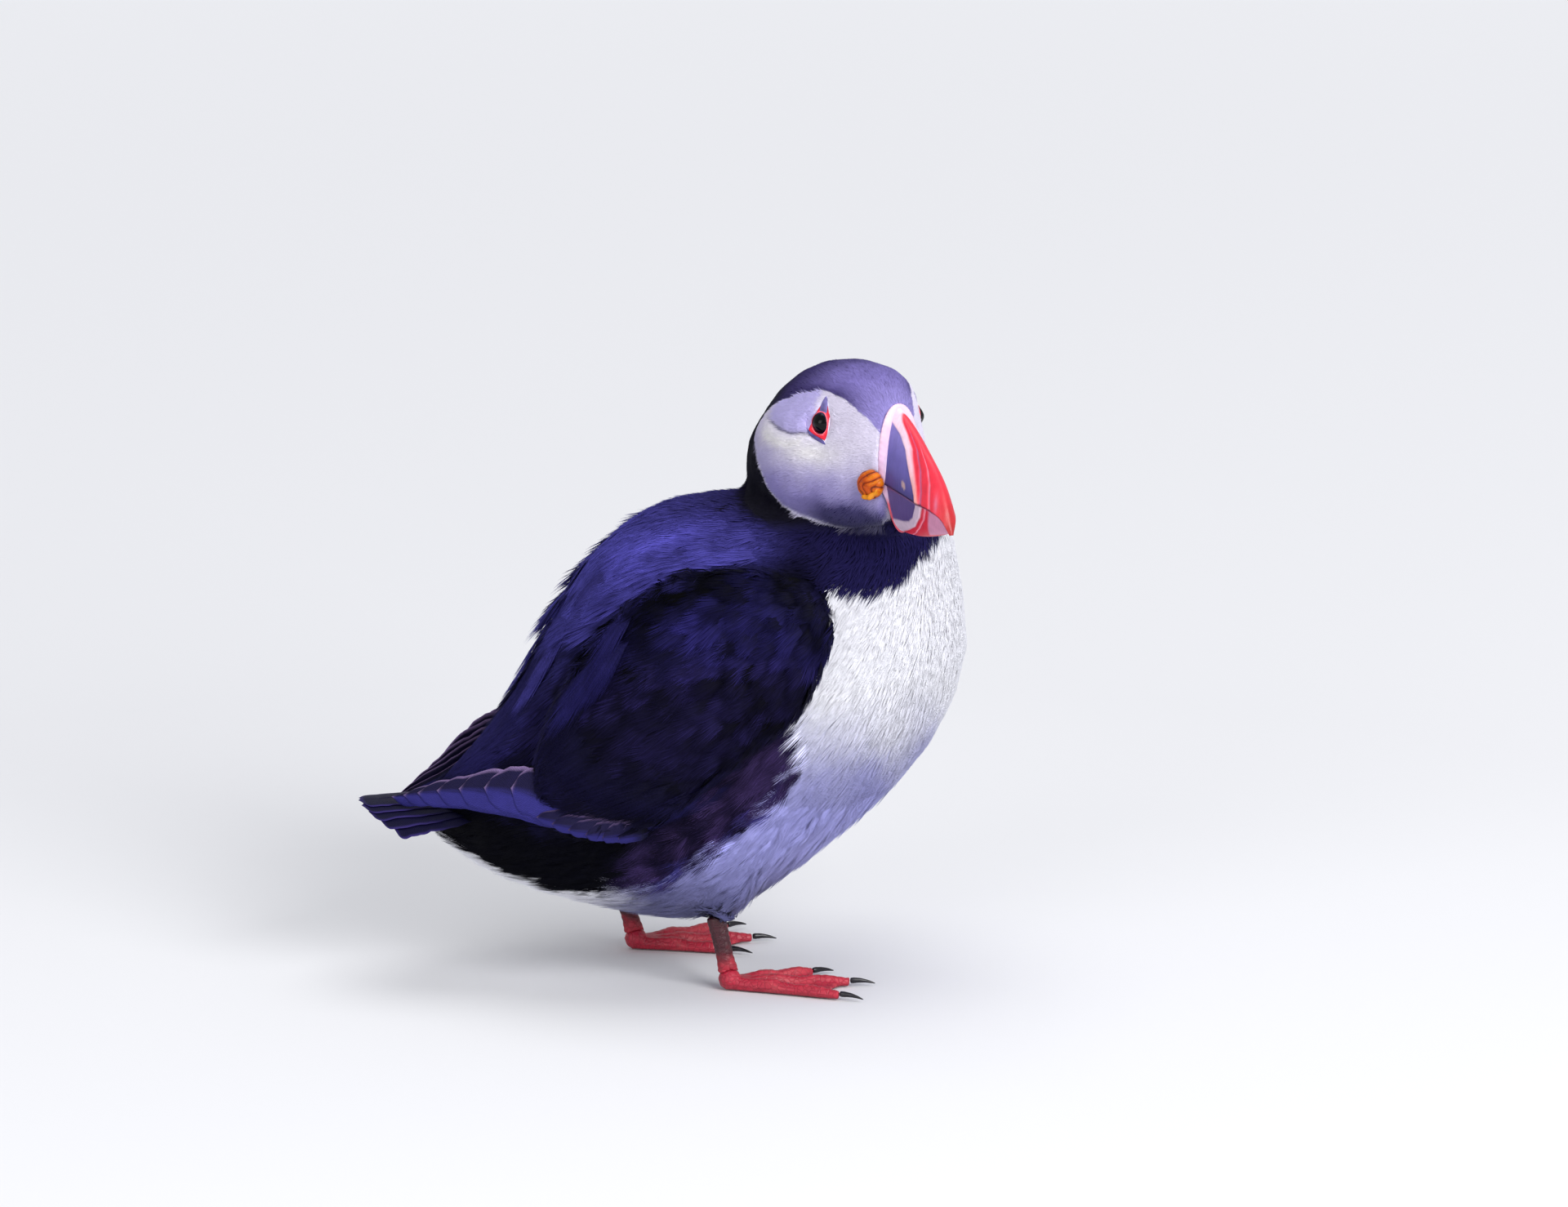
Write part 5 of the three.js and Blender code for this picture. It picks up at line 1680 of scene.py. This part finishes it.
def joinBlades(name, blades, place, colour, materialName, slotName, *replaced):
    # every blade is the same vane, laid by its own numbers; a raised shaft runs down each
    vane = bladeTemplate(bladeMake["rows"], bladeMake["columns"], bladeMake["thick"])
    templates = {"vane": vane, "shaft": shaftTemplate(bladeMake["shaftCuts"])}
    points, faces, tones, uvs = [], [], [], []
    total = 0
    for number, blade in enumerate(blades):
        rng = np.random.default_rng(bladeMake["seed"] + number)
        for kind, (shape, shapeFaces) in templates.items():
            along, across, over = shape[:, 0].copy(), shape[:, 1].copy(), shape[:, 2].copy()
            if kind == "vane":
                ragged = 1 + 0.05 * np.interp(along, np.linspace(0, 1, 24), rng.normal(0, 1, 24))
                slant = blade.get("slant", 0.0) * (across > 0)
                half = np.where(across > 0, blade["up"], blade["down"])
                half = half * bladeWidth(along, slant, blade.get("blunt", 0.0)) * ragged
                offset = across * half
                lift = over * 0.7 + 0.3 * (1 - across**2) * (1 - 0.4 * along)
                along = np.clip(along - 0.02 * np.abs(across) ** 1.5, 0, 1)
            else:
                offset = across * 0.2
                lift = over * 0.2 + 0.32 * (1 - 0.4 * along) + 0.06
                along = along * 0.985
            points.append(place(blade, along, offset, lift))
            tones.append(colour(blade, shape[:, 0], across if kind == "vane" else None))
            uvs.append(np.stack([shape[:, 1] * (0.5 if kind == "vane" else 0.02) + 0.5, shape[:, 0]], axis=1))
            faces += [tuple(corner + total for corner in face) for face in shapeFaces]
            total += len(shape)
    mesh = bpy.data.meshes.new(name)
    mesh.from_pydata(np.vstack(points).tolist(), [], faces)
    mesh.update()
    piece = bpy.data.objects.new(name, mesh)
    bpy.context.collection.objects.link(piece)
    layer = mesh.uv_layers.new(name="lie")
    corners = np.empty(len(mesh.loops), np.int32)
    mesh.loops.foreach_get("vertex_index", corners)
    layer.data.foreach_set("uv", np.vstack(uvs)[corners].ravel())
    paint(piece, np.vstack(tones))
    outwardNormals(piece)
    print(" ", name, len(blades), "feathers")
    hand(piece, finish(materialName, **bladeLook), slotName, *replaced)


bladeLook = {
    "rootShade": 0.85, "barbs": 420.0, "barbSlant": 0.35, "barbWander": 9.0, "streak": 0.16,
    "barbHeight": 0.8, "bump": 0.05, "rough": 0.5, "gloss": 0.09, "sheen": 0.0, "blotch": 0.1,
}


def wingBlades(label):
    # the inner primaries lie over the outer ones, and the secondaries over them all
    blades = []
    ends = [0.52, 0.62, 0.72, 0.81, 0.89, 0.95, 1.0]
    for i, end in enumerate(ends):
        share = i / (len(ends) - 1)
        blades.append({
            "label": label, "kind": "primary", "start": 0.02 + 0.04 * i, "end": end, "slant": 0.35,
            "level": -0.3, "tip": 0.2, "out": 1.9 - 0.27 * i,
            "up": 8.2 * (1 - share) ** 0.8 + 1.8, "down": 6.4 - 3.2 * share,
        })
    for i in range(6):
        blades.append({
            "label": label, "kind": "secondary", "start": 0.0, "end": 0.14 + 0.055 * i, "slant": 0.35,
            "level": -0.98 + 0.08 * i, "tip": -0.95 + 0.1 * i, "out": 2.9 - 0.12 * i,
            "up": 4.2, "down": 1.8,
        })
    return blades


def placeWingBlade(blade, along, offset, lift):
    s = blade["start"] + (blade["end"] - blade["start"]) * along
    half = sizesAlong(quillRuns[blade["label"]]["half"], s)
    level = half * (blade["level"] + (blade["tip"] - blade["level"]) * along**1.7) + offset
    sunk = 5.5 * smooth(0.45, 0.0, along)
    return fromBody(onQuills(blade["label"], s, level, blade["out"] + lift - sunk))


def wingBladeColour(blade, along, across):
    b = bladeShades
    if across is None:
        return np.tile(b["shaft"], (len(along), 1))
    colour = blendTo(b["outer"], b["inner"], smooth(-0.1, 0.15, across))
    if blade["kind"] == "secondary":  # dark where the coverts lie over them
        # painted shade: the secondaries darken towards the root, under the coverts
        colour = blendTo(colour, shades["ink"] * 1.5, smooth(0.75, 0.3, along) * 0.85)
    rim = smooth(0.86, 0.97, across) * smooth(0.3, 0.6, along)
    rim = np.maximum(rim, smooth(0.975, 0.995, along) * smooth(-0.6, 0.2, across))
    return blendTo(colour, b["edge"], rim * (0.9 if blade["kind"] == "primary" else 0.35))


tailMake = {
    "count": 9, "rootX": -72, "tipX": -114.2, "rootHalf": 9, "tipHalf": 17.5, "level": 57.0, "droop": 4.2,
}


def tailBlades():
    middle = (tailMake["count"] - 1) / 2
    order = sorted(range(tailMake["count"]), key=lambda j: -abs(j - middle))
    blades = []
    for height, j in enumerate(order):
        across = (j - middle) / middle
        blades.append({"across": across, "up": 7.0, "down": 7.0, "blunt": 0.6, "out": -1.2 + 0.2 * height})
    return blades


def placeTailBlade(blade, along, offset, lift):
    t, s = tailMake, blade["across"]
    reach = along * (1 - 0.2 * s * s)
    x = t["rootX"] + (t["tipX"] - t["rootX"]) * reach
    half = t["rootHalf"] + (t["tipHalf"] - t["rootHalf"]) * along**0.8
    y = s * half + offset
    level = t["level"] - 2.2 * along - t["droop"] * (y / 22) ** 2
    return fromBody(np.stack([x, y, level + blade["out"] + lift * 0.7], axis=1))


def tailBladeColour(blade, along, across):
    b = bladeShades
    if across is None:
        return np.tile(b["shaft"] * 0.8, (len(along), 1))
    colour = b["tail"]
    rim = np.maximum(smooth(0.95, 0.995, along), smooth(0.88, 0.98, np.abs(across)) * smooth(0.4, 0.8, along))
    return blendTo(colour, b["tailEdge"], rim * 0.8)


print("flight feathers")
for label in sides:
    joinBlades(
        f"wing_tip_{label}", wingBlades(label), placeWingBlade, wingBladeColour,
        f"flight feathers {label}", "flight_feathers", f"quills_{label}",
    )
joinBlades(
    "tail_fan", tailBlades(), placeTailBlade, tailBladeColour, "tail feathers", "flight_feathers", "tail",
)

# legs, feet and claws

legShades = tints(
    red=(180, 40, 58), web=(164, 32, 54), rib=(196, 68, 78), sole=(130, 32, 50), dusk=(34, 18, 26),
    claw=(16, 13, 20),
)
footLook = {"scaleSize": 620.0, "rough": 0.44}
legMake = {
    "footVoxel": 0.42, "tarsusVoxel": 0.4, "rounds": 6,
    "ribs": 0.22, "scutes": 0.2, "knuckles": 0.25, "rings": 0.16,
}


def legMaterial(name):
    made = Nodes(name)
    place = made.place()
    values = {"Vector": place, "Scale": footLook["scaleSize"]}
    cells = made.add("ShaderNodeTexVoronoi", values, feature="DISTANCE_TO_EDGE")
    crack = made.span(cells.outputs["Distance"], 0.0, 0.12, 0.0, 1.0)
    mottle = made.noise(place, 260.0, 4.0, 0.6)
    scales, clouds = made.span(crack, 0.0, 1.0, 0.82, 1.03), made.span(mottle, 0.3, 0.7, 0.85, 1.13)
    shade = made.maths("MULTIPLY", scales, clouds)
    made.set(Base_Color=made.toned(shade), Normal=made.bump(crack, 0.09 * mm))
    rough = footLook["rough"]
    made.set(Roughness=made.span(mottle, 0.3, 0.7, rough - 0.08, rough + 0.1))
    made.set(Specular_IOR_Level=0.4, Subsurface_Weight=0.08)
    made.set(Subsurface_Radius=(0.002, 0.0007, 0.0006))
    return made.material


legSkin = legMaterial("scaly leg skin")
toeSet = {"spread": 26, "turn": {"right": -3, "left": 4}, "toes": {"right": [-5.5, -26], "left": [-27, 26]}}


def footPlace(points, label):
    # millimetres from the heel pad, x along the middle toe
    b = inBody(points)[:, :2] - toeSet["toes"][label]
    angle = math.radians(toeSet["turn"][label])
    x = b[:, 0] * math.cos(angle) + b[:, 1] * math.sin(angle)
    y = -b[:, 0] * math.sin(angle) + b[:, 1] * math.cos(angle)
    return x, y, inBody(points)[:, 2]


def makeFoot(label):
    piece = copyOf(f"foot_{label}_skin", f"foot_{label}")
    applyModifier(piece, "even", "REMESH", mode="VOXEL", voxel_size=legMake["footVoxel"] * mm)
    relax(piece, legMake["rounds"])
    points, normals = pointsOf(piece), normalsOf(piece)
    x, y, z = footPlace(points, label)
    turn = np.degrees(np.arctan2(y, np.maximum(x, 1)))
    away = np.hypot(x, y)
    spread = toeSet["spread"]
    toe = np.max([bell(turn, at, 70 / np.maximum(away, 5)) for at in (-spread, 0, spread)], axis=0)
    web = (1 - toe) * smooth(6, 12, away)
    ribs = np.sin(np.radians(turn) * 52 + 0.5 * np.sin(away * 0.5)) * web
    scutes = np.abs(np.sin(away * 1.35 + 0.4 * np.sin(y * 2))) * toe * smooth(5, 9, away)
    knuckle = bell(away, 14, 2.2) + bell(away, 25, 2.0)
    rise = legMake["ribs"] * ribs + legMake["scutes"] * scutes + legMake["knuckles"] * knuckle * toe
    top = smooth(0.5, 1.2, z) * smooth(-0.1, 0.4, normals[:, 2])
    points = points + np.array([0, 0, 1]) * (rise * top * mm)[:, None]
    points[:, 2] = np.maximum(points[:, 2], 0)
    movePoints(piece, points)
    shadeSmooth(piece)
    tone = blendTo(legShades["web"], legShades["red"], toe)
    tone = blendTo(tone, legShades["rib"], np.clip(ribs, 0, 1) * 0.6 + 0.35 * knuckle * toe)
    tone = blendTo(tone, legShades["sole"], smooth(0.7, 0.1, z) * 0.8)
    paint(piece, tone)
    hand(piece, legSkin, "leg_skin", f"foot_{label}")


def makeTarsus(label):
    piece = copyOf(f"tarsus_{label}_skin", f"tarsus_{label}")
    applyModifier(piece, "even", "REMESH", mode="VOXEL", voxel_size=legMake["tarsusVoxel"] * mm)
    relax(piece, legMake["rounds"])
    points, normals = pointsOf(piece), normalsOf(piece)
    z = inBody(points)[:, 2]
    rings = legMake["rings"] * np.abs(np.sin(z * 1.5))
    movePoints(piece, points + normals * (rings * mm)[:, None])
    shadeSmooth(piece)
    # the tarsus darkens towards the top: a dusky joint, with painted shade under the belly
    tone = blendTo(legShades["red"] * 0.85, legShades["dusk"], smooth(5, 13, z + ripple(points, 3, 8)) * 0.92)
    paint(piece, tone)
    hand(piece, legSkin, "leg_skin", f"tarsus_{label}")


clawHorn = fleshMaterial("dark claws", 0.3, 0.05, 800.0, 0.45)
print("legs and feet")
for label in sides:
    makeFoot(label)
    makeTarsus(label)
    for toeName in "abc":
        claw = copyOf(f"claw_{label}_{toeName}_horn", f"claw_{label}_{toeName}")
        applyModifier(claw, "round", "SUBSURF", levels=2, render_levels=2)
        points = pointsOf(claw)
        points[:, 2] = np.maximum(points[:, 2], 0.0)
        movePoints(claw, points)
        shadeSmooth(claw)
        worn = smooth(0.2, 1, ripple(points, 1.5, 77)) * 0.4
        paint(claw, blendTo(legShades["claw"], legShades["claw"] * 3, worn))
        hand(claw, clawHorn, "claw", f"claw_{label}_{toeName}")

# camera, floor and light

stage = {
    "azimuth": -8, "elevation": 13, "distance": 3.0, "across": 0.4704,
    "aim": (0.0214, 0.01215, 0.090), "shift": (0.03125, 0.0458), "sensor": 36, "farGlow": 0.5,
    "floorSize": 24, "floorLevel": -0.0005,
}
lamps = {
    "key": {"place": (1.1, -2.0, 1.25), "size": 1.4, "power": 58},
    "top": {"place": (0.1, 0.2, 2.2), "size": 1.6, "power": 17},
    "fill": {"place": (-1.5, -1.8, 0.9), "size": 1.4, "power": 15},
}
lampAim = 0.09  # the height that they all face


def setStage():
    around, rise = math.radians(stage["azimuth"]), math.radians(stage["elevation"])
    away = Vector((math.sin(around) * math.cos(rise), -math.cos(around) * math.cos(rise), math.sin(rise)))
    camera = bpy.data.objects.new("camera", bpy.data.cameras.new("camera"))
    bpy.context.collection.objects.link(camera)
    camera.location = Vector(stage["aim"]) + away * stage["distance"]
    camera.rotation_euler = away.to_track_quat("Z", "Y").to_euler()
    camera.data.sensor_width = stage["sensor"]
    camera.data.lens = stage["sensor"] * stage["distance"] / stage["across"]
    camera.data.shift_x, camera.data.shift_y = stage["shift"]
    camera.data.clip_end = 50
    bpy.context.scene.camera = camera

    deselect()
    bpy.ops.mesh.primitive_plane_add(size=stage["floorSize"], location=(0, 0, stage["floorLevel"]))
    floor = bpy.context.object
    floor.name = "floor"
    made = Nodes("pale floor")
    place = made.place()
    away = made.add("ShaderNodeVectorMath", {0: place}, operation="LENGTH").outputs["Value"]
    seen = made.add("ShaderNodeLightPath").outputs["Is Camera Ray"]
    glow = made.maths("MULTIPLY", made.span(away, 0.4, 3.0, 0.0, stage["farGlow"]), seen)
    made.set(Base_Color=(0.78, 0.78, 0.8, 1), Roughness=0.8, Specular_IOR_Level=0.1)
    made.set(Emission_Color=(0.97, 0.98, 1.0, 1), Emission_Strength=glow)
    floor.data.materials.append(made.material)

    world = bpy.data.worlds.new("soft room")
    world.use_nodes = True
    bpy.context.scene.world = world
    world.node_tree.nodes["Background"].inputs["Color"].default_value = (0.93, 0.95, 1.0, 1)
    world.node_tree.nodes["Background"].inputs["Strength"].default_value = 0.5
    for name, lamp in lamps.items():
        light = bpy.data.objects.new(name, bpy.data.lights.new(name, "AREA"))
        bpy.context.collection.objects.link(light)
        light.data.size = lamp["size"]
        light.data.energy = lamp["power"]
        light.location = lamp["place"]
        towards = Vector(lamp["place"]) - Vector((0, 0, lampAim))
        light.rotation_euler = towards.to_track_quat("Z", "Y").to_euler()
    bpy.context.scene.view_settings.view_transform = "Standard"


setStage()
